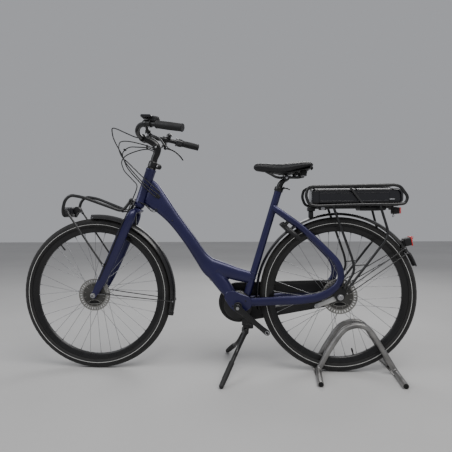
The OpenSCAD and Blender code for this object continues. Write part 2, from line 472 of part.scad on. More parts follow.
// ---------- floor stand ----------
hoop = [[457, -188, 12.5], [468, -62, 12.5], [472, -38, 22], [513, -38, 98], [560, -38, 172], [592, -38, 208], [637, -38, 223], [681, -38, 216], [708, -38, 190], [731, -38, 152], [778, -38, 74], [808, -38, 22], [812, -62, 12.5], [802, -190, 12.5]];
hp_path = bent(hoop, 16, 3);
module stand_hoops() color(STL) both() difference() {
  pipe(hp_path, stand_d / 2, stand_d / 2, 16);
  bar(hoop[0] - 2 * unit(hoop[1] - hoop[0]), hoop[0] + 60 * unit(hoop[1] - hoop[0]), stand_d / 2 - 1.8);
  bar(hoop[13] - 2 * unit(hoop[12] - hoop[13]), hoop[13] + 60 * unit(hoop[12] - hoop[13]), stand_d / 2 - 1.8);
}
module stand_bars() color(STL) { translate([454, -60, 0]) cube([24, 120, 4]); translate([800, -60, 0]) cube([24, 120, 4]); }

stand_hoops();
stand_bars();
head_tube();
headset();
down_tube();
seat_tube();
rear_stays();
motor_housing();
motor_rotor();
crank_spindle();
crank_arms();
chainring();
chain();
rear_sprocket();
chain_case();
kickstand_bracket();
kickstand_leg_left();
kickstand_leg_right();
seat_collar();
seatpost();
saddle_rails();
saddle_base();
saddle_pad();
saddle_springs();
rack_frame();
rack_stays();
rack_tray();
battery_case();
battery_cells();
rear_mudguard();
rear_light();
rear_reflector();
ring_lock();
lock_shackle();
rear_axle();
rear_brake();
rear_hub();
rear_spokes();
rear_rim();
rear_tyre();
front_axle();
front_brake();
front_hub();
front_spokes();
front_rim();
front_tyre();
fork();
stem();
handlebar();
grips();
brake_perches();
brake_lever_left();
brake_lever_right();
gear_shifter();
bell();
display();
front_mudguard();
front_carrier();
headlight();
steering_cables();
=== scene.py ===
import bpy, bmesh, math
import numpy as np
from mathutils import Vector, Matrix, noise


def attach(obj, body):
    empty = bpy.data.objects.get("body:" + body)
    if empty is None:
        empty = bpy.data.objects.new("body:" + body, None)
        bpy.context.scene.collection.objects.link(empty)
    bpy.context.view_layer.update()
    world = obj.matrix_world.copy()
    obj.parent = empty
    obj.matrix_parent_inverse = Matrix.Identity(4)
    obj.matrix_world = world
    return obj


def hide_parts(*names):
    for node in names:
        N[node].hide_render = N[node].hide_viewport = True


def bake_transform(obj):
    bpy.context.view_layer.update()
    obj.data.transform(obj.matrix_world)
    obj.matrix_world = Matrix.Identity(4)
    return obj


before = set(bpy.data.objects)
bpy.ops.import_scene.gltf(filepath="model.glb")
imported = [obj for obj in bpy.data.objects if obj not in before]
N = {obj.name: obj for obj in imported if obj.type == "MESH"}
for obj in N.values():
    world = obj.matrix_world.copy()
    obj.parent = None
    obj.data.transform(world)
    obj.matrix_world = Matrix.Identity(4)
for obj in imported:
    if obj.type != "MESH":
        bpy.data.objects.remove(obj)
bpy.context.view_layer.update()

col = bpy.context.scene.collection
pi = math.pi

# ------------------------------------------------------------------ materials
def nd(t, kind, **kw):
    n = t.nodes.new(kind)
    for k, v in kw.items():
        setattr(n, k, v)
    return n

def mat(name, base, rough, metal=0.0, coat=0.0, coat_r=0.1, spec=0.5, vary=0.12, vscale=9.0, rvar=0.08,
        bump=(220.0, 0.12, 0.0004), dust=0.0, wear=None, sheen=0.0, scratch=0.0, alpha=None, emit=None, trans=0.0):
    m = bpy.data.materials.new(name)
    m.use_nodes = True
    t = m.node_tree
    t.nodes.clear()
    out = nd(t, "ShaderNodeOutputMaterial")
    p = nd(t, "ShaderNodeBsdfPrincipled")
    t.links.new(p.outputs[0], out.inputs[0])
    tc = nd(t, "ShaderNodeTexCoord")
    p.inputs["Metallic"].default_value = metal
    p.inputs["Coat Weight"].default_value = coat
    p.inputs["Coat Roughness"].default_value = coat_r
    p.inputs["Specular IOR Level"].default_value = spec
    p.inputs["Sheen Weight"].default_value = sheen
    p.inputs["Transmission Weight"].default_value = trans
    if emit:
        p.inputs["Emission Color"].default_value = (*emit[:3], 1)
        p.inputs["Emission Strength"].default_value = emit[3]
    # broad colour variation
    n1 = nd(t, "ShaderNodeTexNoise"); n1.inputs["Scale"].default_value = vscale; n1.inputs["Detail"].default_value = 6
    t.links.new(tc.outputs["Object"], n1.inputs["Vector"])
    r1 = nd(t, "ShaderNodeValToRGB")
    lo = tuple(c * (1 - vary) for c in base[:3]); hi = tuple(min(1, c * (1 + vary)) for c in base[:3])
    r1.color_ramp.elements[0].position = 0.32; r1.color_ramp.elements[0].color = (*lo, 1)
    r1.color_ramp.elements[1].position = 0.68; r1.color_ramp.elements[1].color = (*hi, 1)
    t.links.new(n1.outputs["Fac"], r1.inputs["Fac"])
    colour = r1.outputs["Color"]
    if wear:
        g = nd(t, "ShaderNodeNewGeometry")
        mr = nd(t, "ShaderNodeMapRange"); mr.inputs["From Min"].default_value = wear[3]; mr.inputs["From Max"].default_value = wear[3] + 0.08
        t.links.new(g.outputs["Pointiness"], mr.inputs["Value"])
        nw = nd(t, "ShaderNodeTexNoise"); nw.inputs["Scale"].default_value = 60; nw.inputs["Detail"].default_value = 8
        t.links.new(tc.outputs["Object"], nw.inputs["Vector"])
        mw = nd(t, "ShaderNodeMath", operation="MULTIPLY"); t.links.new(mr.outputs[0], mw.inputs[0]); t.links.new(nw.outputs["Fac"], mw.inputs[1])
        mx = nd(t, "ShaderNodeMix", data_type="RGBA"); t.links.new(mw.outputs[0], mx.inputs[0]); t.links.new(colour, mx.inputs[6]); mx.inputs[7].default_value = (*wear[:3], 1)
        colour = mx.outputs[2]
    if dust:
        g = nd(t, "ShaderNodeNewGeometry"); sx = nd(t, "ShaderNodeSeparateXYZ"); t.links.new(g.outputs["Normal"], sx.inputs[0])
        nw = nd(t, "ShaderNodeTexNoise"); nw.inputs["Scale"].default_value = 26; nw.inputs["Detail"].default_value = 10
        t.links.new(tc.outputs["Object"], nw.inputs["Vector"])
        mr = nd(t, "ShaderNodeMapRange"); mr.inputs["From Min"].default_value = 0.1; mr.inputs["From Max"].default_value = 1.0; mr.inputs["To Max"].default_value = dust
        t.links.new(sx.outputs["Z"], mr.inputs["Value"])
        mw = nd(t, "ShaderNodeMath", operation="MULTIPLY"); t.links.new(mr.outputs[0], mw.inputs[0]); t.links.new(nw.outputs["Fac"], mw.inputs[1])
        mx = nd(t, "ShaderNodeMix", data_type="RGBA"); t.links.new(mw.outputs[0], mx.inputs[0]); t.links.new(colour, mx.inputs[6]); mx.inputs[7].default_value = (0.22, 0.21, 0.20, 1)
        colour = mx.outputs[2]
    t.links.new(colour, p.inputs["Base Color"])
    n2 = nd(t, "ShaderNodeTexNoise"); n2.inputs["Scale"].default_value = vscale * 5; n2.inputs["Detail"].default_value = 8
    t.links.new(tc.outputs["Object"], n2.inputs["Vector"])
    m2 = nd(t, "ShaderNodeMapRange"); m2.inputs["From Min"].default_value = 0.3; m2.inputs["From Max"].default_value = 0.7
    m2.inputs["To Min"].default_value = max(0.02, rough - rvar); m2.inputs["To Max"].default_value = min(1.0, rough + rvar)
    t.links.new(n2.outputs["Fac"], m2.inputs["Value"]); t.links.new(m2.outputs[0], p.inputs["Roughness"])
    if bump:
        n3 = nd(t, "ShaderNodeTexNoise"); n3.inputs["Scale"].default_value = bump[0]; n3.inputs["Detail"].default_value = 5
        t.links.new(tc.outputs["Object"], n3.inputs["Vector"])
        h = n3.outputs["Fac"]
        if scratch:
            w = nd(t, "ShaderNodeTexWave"); w.inputs["Scale"].default_value = 340; w.inputs["Distortion"].default_value = 14; w.inputs["Detail"].default_value = 4
            t.links.new(tc.outputs["Object"], w.inputs["Vector"])
            am = nd(t, "ShaderNodeMath", operation="MULTIPLY_ADD"); t.links.new(w.outputs["Fac"], am.inputs[0]); am.inputs[1].default_value = scratch; t.links.new(h, am.inputs[2]); h = am.outputs[0]
        b = nd(t, "ShaderNodeBump"); b.inputs["Strength"].default_value = bump[1]; b.inputs["Distance"].default_value = bump[2]
        t.links.new(h, b.inputs["Height"]); t.links.new(b.outputs[0], p.inputs["Normal"])
    return m

def leather(name, base, rough, cell=900.0, depth=0.5):
    m = mat(name, base, rough, vary=0.1, vscale=14, rvar=0.07, bump=None, spec=0.45)
    t = m.node_tree
    p = [n for n in t.nodes if n.type == "BSDF_PRINCIPLED"][0]
    tc = [n for n in t.nodes if n.type == "TEX_COORD"][0]
    v = nd(t, "ShaderNodeTexVoronoi", feature="DISTANCE_TO_EDGE"); v.inputs["Scale"].default_value = cell
    nz = nd(t, "ShaderNodeTexNoise"); nz.inputs["Scale"].default_value = 60; nz.inputs["Detail"].default_value = 6
    t.links.new(tc.outputs["Object"], v.inputs["Vector"]); t.links.new(tc.outputs["Object"], nz.inputs["Vector"])
    mr = nd(t, "ShaderNodeMapRange"); mr.inputs["From Max"].default_value = 0.12
    t.links.new(v.outputs["Distance"], mr.inputs["Value"])
    ad = nd(t, "ShaderNodeMath", operation="ADD"); t.links.new(mr.outputs[0], ad.inputs[0]); t.links.new(nz.outputs["Fac"], ad.inputs[1])
    b = nd(t, "ShaderNodeBump"); b.inputs["Strength"].default_value = depth; b.inputs["Distance"].default_value = 0.0003
    t.links.new(ad.outputs[0], b.inputs["Height"]); t.links.new(b.outputs[0], p.inputs["Normal"])
    return m

navy = mat("navy_satin_paint", (0.0125, 0.0115, 0.066), 0.33, metal=0.35, coat=0.35, coat_r=0.22, vary=0.16, vscale=5, rvar=0.05, bump=(900, 0.05, 0.0002), dust=0.02, wear=(0.05, 0.05, 0.10, 0.62))
blk_tube = mat("black_satin_powder_coat", (0.0065, 0.0067, 0.0075), 0.36, coat=0.25, coat_r=0.22, vary=0.25, vscale=12, rvar=0.08, bump=(700, 0.18, 0.0003), dust=0.03, wear=(0.10, 0.10, 0.10, 0.58))
blk_plastic = mat("black_moulded_plastic", (0.0065, 0.0065, 0.0072), 0.48, vary=0.2, vscale=15, rvar=0.08, bump=(1400, 0.25, 0.0002), dust=0.04)
case_plastic = mat("chain_case_plastic", (0.0055, 0.0055, 0.006), 0.46, vary=0.25, vscale=8, rvar=0.1, bump=(1000, 0.25, 0.0002), dust=0.04, scratch=0.1)
gloss_plastic = mat("black_gloss_plastic", (0.0055, 0.0055, 0.0085), 0.22, coat=0.5, coat_r=0.1, vary=0.2, rvar=0.07, bump=(300, 0.04, 0.0002), dust=0.06)
guard_plastic = mat("mudguard_gloss_plastic", (0.006, 0.006, 0.007), 0.27, coat=0.35, coat_r=0.16, vary=0.2, rvar=0.08, bump=(80, 0.04, 0.0005), dust=0.08)
blk_alloy = mat("black_anodised_alloy", (0.0085, 0.0087, 0.0095), 0.30, metal=0.25, coat=0.15, coat_r=0.2, vary=0.18, rvar=0.07, bump=(900, 0.12, 0.0002), dust=0.05, wear=(0.2, 0.2, 0.2, 0.62))
rim_alloy = mat("black_rim_alloy", (0.006, 0.006, 0.0065), 0.32, metal=0.2, coat=0.12, vary=0.2, vscale=10, rvar=0.1, bump=(500, 0.08, 0.0002), dust=0.04)
alloy = mat("bright_cast_alloy", (0.50, 0.50, 0.49), 0.36, metal=0.9, vary=0.15, vscale=22, rvar=0.1, bump=(500, 0.25, 0.0003), scratch=0.2)
disc_d = mat("dark_disc_alloy", (0.085, 0.083, 0.078), 0.38, metal=0.8, vary=0.25, vscale=18, rvar=0.12, bump=(260, 0.3, 0.0003), scratch=0.4)
disc_m = mat("ribbed_disc_alloy", (0.27, 0.265, 0.25), 0.36, metal=0.9, vary=0.2, vscale=18, rvar=0.12, bump=(260, 0.3, 0.0003), scratch=0.5)
spoke_m = mat("stainless_spoke", (0.33, 0.33, 0.34), 0.3, metal=0.95, vary=0.12, rvar=0.08, bump=(400, 0.05, 0.0001))
steel = mat("zinc_steel", (0.42, 0.42, 0.43), 0.34, metal=0.95, vary=0.18, vscale=30, rvar=0.1, bump=(600, 0.2, 0.0002), scratch=0.3)
chrome = mat("chromed_steel", (0.62, 0.62, 0.63), 0.12, metal=1.0, vary=0.05, rvar=0.05, bump=(200, 0.03, 0.0001))
worn = mat("worn_galvanised_steel", (0.25, 0.245, 0.24), 0.40, metal=0.8, vary=0.3, vscale=16, rvar=0.15, bump=(240, 0.35, 0.0004), wear=(0.5, 0.48, 0.46, 0.54), scratch=0.4)
rubber = mat("tyre_rubber", (0.0155, 0.015, 0.015), 0.72, spec=0.35, vary=0.3, vscale=24, rvar=0.08, bump=(900, 0.35, 0.0004), sheen=0.08)
tread_m = mat("tyre_tread_rubber", (0.023, 0.022, 0.021), 0.84, spec=0.3, vary=0.4, vscale=34, rvar=0.08, bump=(600, 0.5, 0.0005), sheen=0.1)
stripe_m = mat("reflective_stripe", (0.62, 0.62, 0.60), 0.4, spec=0.6, vary=0.15, vscale=40, rvar=0.1, bump=(1500, 0.2, 0.0002))
grip_m = mat("grip_rubber", (0.0080, 0.0080, 0.0088), 0.62, vary=0.25, vscale=30, rvar=0.08, bump=(1600, 0.35, 0.0003), dust=0.08)
grip_grey = mat("grip_end_rubber", (0.0248, 0.0252, 0.0270), 0.5, vary=0.25, vscale=30, rvar=0.08, bump=(1200, 0.3, 0.0003))
cable_m = mat("cable_housing", (0.0060, 0.0060, 0.0065), 0.4, vary=0.15, rvar=0.06, bump=(800, 0.12, 0.0002))
# red lens glows faintly through emission; on the rear reflector, which is no lamp, this glow is painted light
red_lens = mat("red_lens", (0.55, 0.012, 0.012), 0.16, coat=0.6, vary=0.2, vscale=40, rvar=0.05, bump=(500, 0.35, 0.0006), emit=(0.6, 0.02, 0.02, 0.12))
clear_lens = mat("clear_lens", (0.42, 0.43, 0.45), 0.1, coat=0.8, coat_r=0.05, vary=0.15, vscale=60, rvar=0.05, bump=(350, 0.3, 0.0005))
reflector_w = mat("white_reflector", (0.6, 0.6, 0.6), 0.2, coat=0.5, vary=0.1, rvar=0.05, bump=(700, 0.5, 0.0006))
saddle_m = leather("saddle_cover", (0.0078, 0.0078, 0.0092), 0.38, 900, 0.45)
stitch_m = mat("saddle_thread", (0.03, 0.03, 0.032), 0.6, vary=0.2, bump=(2000, 0.3, 0.0002))
elast = mat("elastomer_rubber", (0.0080, 0.0080, 0.0085), 0.55, vary=0.2, bump=(900, 0.25, 0.0003))
cellwrap = mat("cell_wrap", (0.05, 0.16, 0.19), 0.35, vary=0.15, bump=(300, 0.1, 0.0002))
screen_m = mat("display_glass", (0.006, 0.007, 0.009), 0.08, coat=0.8, coat_r=0.03, vary=0.1, rvar=0.03, bump=(50, 0.02, 0.0001))
# near-black fill for holes, slots, windows and open tube ends: painted shade standing in for the hollows
painted_shade_fill = mat("painted_shade_in_holes", (0.006, 0.006, 0.006), 0.8, metal=0.2, vary=0.3, bump=(300, 0.3, 0.0003))
bell_m = mat("bell_lacquer", (0.0060, 0.0060, 0.0065), 0.14, metal=0.4, coat=0.7, coat_r=0.06, vary=0.1, rvar=0.04, bump=(200, 0.03, 0.0001))

# ------------------------------------------------------------------ mesh helpers (points in millimetres)
def V(*a):
    return np.array(a, float)

def unit(v):
    v = np.asarray(v, float)
    return v / np.linalg.norm(v)

def bent(p, c, k=10):
    p = [np.array(q, float) for q in p]
    out = [p[0]]
    for i in range(1, len(p) - 1):
        a, b = p[i - 1] - p[i], p[i + 1] - p[i]
        la, lb = np.linalg.norm(a), np.linalg.norm(b)
        d = min(c, 0.48 * la, 0.48 * lb)
        for j in range(k + 1):
            t = j / k
            out.append((1 - t) ** 2 * (p[i] + d * a / la) + 2 * t * (1 - t) * p[i] + t * t * (p[i] + d * b / lb))
    out.append(p[-1])
    return out

def cutloop(p, c, k=8):
    p = [np.array(q, float) for q in p]
    n = len(p); out = []
    for i in range(n):
        a, b = p[i - 1] - p[i], p[(i + 1) % n] - p[i]
        la, lb = np.linalg.norm(a), np.linalg.norm(b)
        d = min(c, 0.48 * la, 0.48 * lb)
        for j in range(k + 1):
            t = j / k
            out.append((1 - t) ** 2 * (p[i] + d * a / la) + 2 * t * (1 - t) * p[i] + t * t * (p[i] + d * b / lb))
    return out

def catmull(p, k=6, closed=False):
    p = np.array(p, float); n = len(p); out = []
    segs = n if closed else n - 1
    for i in range(segs):
        if closed:
            a, b, c, d = p[(i - 1) % n], p[i], p[(i + 1) % n], p[(i + 2) % n]
        else:
            b, c = p[i], p[i + 1]
            a = p[i - 1] if i > 0 else 2 * b - c
            d = p[i + 2] if i + 2 < n else 2 * c - b
        for j in range(k):
            t = j / k
            out.append(0.5 * ((2 * b) + (-a + c) * t + (2 * a - 5 * b + 4 * c - d) * t * t + (-a + 3 * b - 3 * c + d) * t ** 3))
    if not closed:
        out.append(p[-1])
    return np.array(out)

def mir(p):
    return [np.array([q[0], -q[1], q[2]], float) for q in p]

class Piece:
    """one visible piece, built from several shells; every shell gets a material"""
    def __init__(self, name, body):
        self.name, self.body, self.v, self.f, self.m, self.mats = name, body, [], [], [], []
    def mi(self, m):
        if m not in self.mats:
            self.mats.append(m)
        return self.mats.index(m)
    def add(self, verts, faces, m, mirror=False):
        k = self.mi(m); o = len(self.v)
        self.v += [tuple(map(float, q)) for q in verts]
        self.f += [tuple(o + i for i in f) for f in faces]; self.m += [k] * len(faces)
        if mirror:
            o = len(self.v)
            self.v += [(float(q[0]), -float(q[1]), float(q[2])) for q in verts]
            self.f += [tuple(o + i for i in reversed(f)) for f in faces]; self.m += [k] * len(faces)
        return self
    def rings(self, rings, m, closed=False, caps=True, mirror=False):
        n = len(rings[0]); k = len(rings)
        verts = [q for r in rings for q in r]; faces = []
        for i in range(k if closed else k - 1):
            a, b = i * n, ((i + 1) % k) * n
            for j in range(n):
                faces.append((a + j, a + (j + 1) % n, b + (j + 1) % n, b + j))
        if caps and not closed:
            faces.append(tuple(range(n - 1, -1, -1))); faces.append(tuple((k - 1) * n + j for j in range(n)))
        return self.add(verts, faces, m, mirror)
    def sweep(self, path, a, m, b=None, n=20, up=(0, 1, 0), closed=False, mirror=False, round_end=False):
        path = [np.array(q, float) for q in path]; k = len(path)
        ts = []
        for i in range(k):
            if closed:
                t = path[(i + 1) % k] - path[i - 1]
            elif i == 0:
                t = path[1] - path[0]
            elif i == k - 1:
                t = path[-1] - path[-2]
            else:
                t = unit(path[i + 1] - path[i]) + unit(path[i] - path[i - 1])
            ts.append(unit(t))
        nrm = np.array(up, float); rings = []
        aa = a if hasattr(a, "__len__") else [a] * k
        bb = aa if b is None else (b if hasattr(b, "__len__") else [b] * k)
        for i in range(k):
            base = np.array(up, float) if closed else nrm
            q = base - base.dot(ts[i]) * ts[i]
            nrm = unit(q); s = np.cross(ts[i], nrm)
            rings.append([path[i] + aa[i] * math.cos(2 * pi * j / n) * nrm + bb[i] * math.sin(2 * pi * j / n) * s for j in range(n)])
        if round_end and not closed:
            c0 = [[path[0] - ts[0] * aa[0] * math.sin(e) + (np.array(q) - path[0]) * math.cos(e) for q in rings[0]] for e in (1.35, 0.95, 0.5)]
            c1 = [[path[-1] + ts[-1] * aa[-1] * math.sin(e) + (np.array(q) - path[-1]) * math.cos(e) for q in rings[-1]] for e in (0.5, 0.95, 1.35)]
            rings = c0 + rings + c1
        return self.rings(rings, m, closed, True, mirror)
    def turn(self, p, d, prof, m, n=40, mirror=False, start=0.0, caps=True):
        """turned shape: prof is [(distance along d, radius)]"""
        p = np.array(p, float); d = unit(d)
        u = unit(np.cross(d, [0, 0, 1] if abs(d[2]) < 0.9 else [1, 0, 0])); w = np.cross(d, u)
        rings = [[p + d * t + r * (math.cos(2 * pi * j / n + start) * u + math.sin(2 * pi * j / n + start) * w) for j in range(n)] for t, r in prof]
        # ring order must run so that normals face out
        return self.rings([list(r) for r in rings], m, False, caps, mirror)
    def tube(self, p, q, r, m, n=28, mirror=False, ch=0.6):
        p, q = np.array(p, float), np.array(q, float); L = np.linalg.norm(q - p)
        return self.turn(p, q - p, [(0, r - ch), (ch, r), (L - ch, r), (L, r - ch)], m, n, mirror)
    def bolt(self, p, d, r, h, m, mirror=False, hexr=None):
        """button screw with a hex socket, head at p, standing h proud along d"""
        hx = hexr or r * 0.5
        self.turn(p, d, [(-1.0, r), (h * 0.45, r), (h * 0.8, r * 0.86), (h, r * 0.6), (h, hx), (h * 0.35, hx)], m, 24, mirror)
        return self
    def hexnut(self, p, d, r, h, m, mirror=False, washer=True):
        if washer:
            self.turn(p, d, [(-0.6, r * 1.25), (0.9, r * 1.25), (1.2, r * 1.15)], m, 30, mirror)
        self.turn(p, d, [(0.6, r), (h - 1, r), (h, r * 0.88), (h, r * 0.5)], m, 6, mirror)
        return self
    def box(self, c, s, m, r=2.0, rot=None, mirror=False, seg=3, taper=None):
        """rounded box from a superellipse loft; rot is a 3x3 array"""
        c = np.array(c, float); hx, hy, hz = s[0] / 2, s[1] / 2, s[2] / 2
        r = min(r, hx * 0.98, hy * 0.98, hz * 0.98); rings = []
        k = 5
        zs = [(-hz + r - r * math.cos(pi / 2 * i / k), r - r * math.sin(pi / 2 * i / k)) for i in range(k + 1)] + [(hz - r + r * math.sin(pi / 2 * i / k), r - r * math.cos(pi / 2 * i / k)) for i in range(k + 1)]
        for z, ins in zs:
            ring = []
            tp = 1 if taper is None else 1 + (taper - 1) * (z + hz) / (2 * hz)
            for qx, qy, a0 in ((1, 1, 0), (-1, 1, 90), (-1, -1, 180), (1, -1, 270)):
                for j in range(k + 1):
                    a = math.radians(a0 + 90 * j / k); rr = max(r - ins, 0.01)
                    ring.append(V((qx * (hx - r) + rr * math.cos(a)) * tp, (qy * (hy - r) + rr * math.sin(a)) * tp, z))
            rings.append(ring)
        R = np.eye(3) if rot is None else np.array(rot, float)
        rings = [[c + R @ q for q in ring] for ring in rings]
        return self.rings(rings, m, False, True, mirror)
    def done(self, replaces=(), angle=38, sub=0, fix=True, bevel=0):
        me = bpy.data.meshes.new(self.name)
        me.from_pydata([(x * 0.001, y * 0.001, z * 0.001) for x, y, z in self.v], [], self.f)
        for m in self.mats:
            me.materials.append(m)
        me.polygons.foreach_set("material_index", self.m)
        me.validate()
        if fix:
            bm = bmesh.new(); bm.from_mesh(me); bmesh.ops.recalc_face_normals(bm, faces=bm.faces); bm.to_mesh(me); bm.free()
        me.shade_smooth()
        me.set_sharp_from_angle(angle=math.radians(angle))
        ob = bpy.data.objects.new(self.name, me)
        col.objects.link(ob)
        if sub:
            s = ob.modifiers.new("sub", "SUBSURF"); s.levels = s.render_levels = sub
        if self.body:
            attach(ob, self.body)
        if replaces:
            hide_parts(*replaces)
        return ob

def cadmat(name, *ms):
    o = N[name]
    o.data.materials.clear()
    for m in ms:
        o.data.materials.append(m)
    o.data.polygons.foreach_set("material_index", [0] * len(o.data.polygons))

# ------------------------------------------------------------------ shared dimensions
R = 355.0
FWc, RWc, BBc = V(-562.5, 0, 355), V(562.5, 0, 355), V(107, 0, 305)
ha = math.radians(70.5)
hd = V(math.cos(ha), 0, math.sin(ha))
def hp(z):
    return V(-297 - (942 - z) / math.tan(ha), 0, z)
ST0, ST1 = V(138.6, 0, 319), V(298, 0, 843)
sd = unit(ST1 - ST0)
gA, gB = V(-227, 200, 1104), V(-106, 241, 1078)
gd = unit(gB - gA)
lev = V(-262, 163, 1066)
ln = unit(V(64, -74, 0))
m_ = lambda q: V(q[0], -q[1], q[2])

# ------------------------------------------------------------------ frame tubes
def remeshed(piece_name, body, rep, m, voxel, shells, smooth=6):
    """union of overlapping shells as one smooth skin"""
    P = Piece(piece_name, None)
    for rg in shells:
        P.rings(rg, m)
    ob = P.done(fix=True)
    r = ob.modifiers.new("r", "REMESH"); r.mode = "VOXEL"; r.voxel_size = voxel; r.use_smooth_shade = True
    s = ob.modifiers.new("s", "SMOOTH"); s.factor = 0.5; s.iterations = smooth
    dg = bpy.context.evaluated_depsgraph_get()
    me = bpy.data.meshes.new_from_object(ob.evaluated_get(dg))
    ob.modifiers.clear(); ob.data = me
    me.materials.clear(); me.materials.append(m); me.shade_smooth()
    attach(ob, body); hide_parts(*rep)
    return ob

def loft_rings(st, n=40, e=0.78, k=6, wide=0.0):
    st = [list(s) + [0.0] * (6 - len(s)) for s in st]
    st = catmull(st, k)
    rings = []
    for s in st:
        lean = math.radians(s[4]); ring = []
        for j in range(n):
            c, q = math.cos(2 * pi * j / n), math.sin(2 * pi * j / n)
            h = (s[2] + wide) * math.copysign(abs(c) ** e, c); w = (s[3] + wide) * math.copysign(abs(q) ** e, q)
            ring.append(V(s[0] + h * math.cos(lean), -w, s[1] + h * math.sin(lean)))
        rings.append(ring)
    return rings

dt_main = [[-313, 838, 58, 13, 70.5], [-298, 822, 59, 18, 59], [-275, 798, 51, 20.5, 48], [-240, 762, 41, 22, 41], [-188, 701, 31, 23.5, 37], [-123, 614, 29, 24, 35], [-70, 535, 31, 25, 38], [-30, 487, 41, 27, 48], [5, 458, 46, 28, 60]]
dt_upper = [[-25, 498, 30, 24, 45], [10, 478, 35, 25, 62], [55, 463, 33, 23, 68], [100, 448, 31, 20, 70], [142, 437, 29, 17, 72], [168, 430, 26, 15.5, 73]]
dt_lower = [[-30, 478, 20, 26, 20], [-2, 447, 33, 28, 8], [26, 412, 43, 31, -4], [49, 378, 45, 35, -12], [71, 345, 42, 38, -18], [93, 323, 33, 38.5, -22]]
remeshed("down_tube_skin", "frame", ["down_tube"], navy, 0.0035, [loft_rings(dt_main, wide=0.6), loft_rings(dt_upper, wide=0.6), loft_rings(dt_lower, wide=0.6)], 5)

# welds and small frame fittings
P = Piece("frame_fittings", "frame")
for s in (-1, 1):
    for c, q in (((-196, 24.2 * s, 698), (0, s, 0)),):
        P.bolt(c, q, 3.2, 1.6, blk_alloy)
# weld beads round the seat tube joints
def bead(c, d, r, m, wob=0.7, n=90, w=2.0):
    d = unit(d); u = unit(np.cross(d, [0, 1, 0.01])); w2 = np.cross(d, u)
    path = [np.array(c, float) + (r + 0.25 * math.sin(j * 2 * pi * 30 / n)) * (math.cos(2 * pi * j / n) * u + math.sin(2 * pi * j / n) * w2) for j in range(n)]
    P.sweep(path, [w + 0.25 * math.sin(j * 2 * pi * 30 / n) for j in range(n)], m, n=8, up=d, closed=True)
bead(ST0 + 118 * sd, sd, 17.6, navy)
bead(ST0 + 142 * sd, sd, 17.2, navy)
# cable inlet plate on the near side of the down tube head end
P.box((-262, -20.5, 812), (22, 7, 15), blk_plastic, 3, [[0.64, 0, 0.77], [0, 1, 0], [-0.77, 0, 0.64]])
P.box((-262, 20.5, 812), (22, 7, 15), blk_plastic, 3, [[0.64, 0, 0.77], [0, 1, 0], [-0.77, 0, 0.64]])
# small wire loops hanging under the head tube
for k, off in enumerate((0, 7)):
    c0 = hp(778)
    pth = catmull([hp(800) + V(-8, -22 - off * .2, -12), V(-322 + off, -21, 770), V(-303 + off, -19, 751 - off), V(-281 + off, -18, 748 - off), V(-262 + off, -19, 760), V(-255, -20, 776)], 8)
    P.sweep(pth, 1.7, cable_m, n=10)
P.done()

# head tube: turned with thick rims
P = Piece("head_tube_shell", "frame")
L0, L1 = hp(768), hp(940); LL = np.linalg.norm(L1 - L0)
P.turn(L0, hd, [(0, 17.2), (0, 23.6), (1, 24.4), (10, 24.4), (12, 23.5), (LL - 12, 23.5), (LL - 10, 24.2), (LL - 1, 24.2), (LL, 23.4), (LL, 17.2), (0.2, 17.2)], navy, 56)
P.done(["head_tube"])
P = Piece("headset_cups", "frame")
for z, s in ((941, 1), (767, -1)):
    P.turn(hp(z), hd * s, [(-6, 13.4), (-6, 19), (0, 21.4), (2.2, 21.8), (3.2, 21.2), (5, 20.5), (6, 18.5), (6, 13.4)], blk_alloy if s > 0 else navy, 48)
P.turn(hp(941), hd, [(6.1, 13.4), (6.1, 18.4), (9.5, 18), (10, 17), (10, 13.4)], blk_alloy, 48)
P.done(["headset"])

# seat tube, stays, dropouts
P = Piece("seat_tube_shell", "frame")
LL = np.linalg.norm(ST1 - ST0)
P.turn(ST0, sd, [(0, 10), (0, 17), (LL - 24, 17), (LL - 22, 17.5), (LL, 17.5), (LL, 13.9), (LL - 60, 13.9)], navy, 56, caps=False)
P.tube(ST0 + 7 * sd - V(0, 30, 0), ST0 + 7 * sd + V(0, 30, 0), 22, navy, 48)
P.done(["seat_tube"])

stay = [(270, -25, 757), (300, -35, 735), (405, -45, 655), (517, -60, 546), (553, -66, 500), (564, -69, 455), (556, -70, 420), (528, -69, 388), (480, -66, 359), (408, -58, 342), (300, -46, 333), (165, -32, 322)]
P = Piece("rear_stay_tubes", "frame")
sp = catmull(stay, 7)
sw = np.interp(np.linspace(0, 1, len(sp)), [0, 0.2, 0.4, 0.6, 0.7, 0.85, 1], [14, 14.5, 14.5, 15, 17.5, 20, 19])
P.sweep(sp, 9.5, navy, list(sw), n=32, mirror=True)
P.done(["rear_stays"], angle=50)
P = Piece("dropouts", "frame")
def plate(P, outline, y0, y1, m, holes=(), mirror=False, bev=0.8):
    """flat plate in XZ between two Y planes, with a small bevel; outline runs anticlockwise seen from -Y"""
    o = [V(a, b) for a, b in outline]; n = len(o)
    cen = sum(o) / n
    rings = []
    for y, ins in ((y0, bev), (y0 + bev, 0), (y1 - bev, 0), (y1, bev)):
        rings.append([V(q[0] - unit(q - cen)[0] * ins, y, q[1] - unit(q - cen)[1] * ins) for q in o])
    P.rings(rings, m, False, True, mirror)
drop = [(540, 398), (528, 378), (541, 350), (547, 338), (560, 335), (574, 341), (581, 354), (586, 380), (588, 392), (580, 402), (570, 403)]
dr2 = catmull(drop, 4, True)
plate(P, dr2, -71, -65, blk_alloy, mirror=True)
P.done()

# chain tensioner screws and rack eye bolts on the dropouts
P = Piece("dropout_hardware", "frame")
for s in (-1, 1):
    P.hexnut((562.5, 71.5 * s, 355), (0, s, 0), 11, 9, steel)
    P.turn((562.5, 78 * s, 355), (0, s, 0), [(0, 5), (7, 5), (8, 4.2)], steel, 30)
    P.bolt((578, 87 * s, 396), (0, s, 0), 6, 3.5, blk_alloy)
    P.bolt((592, 72 * s, 372), (0, s, 0), 4, 3, steel)
P.done(["rear_axle"])
N_axle = None

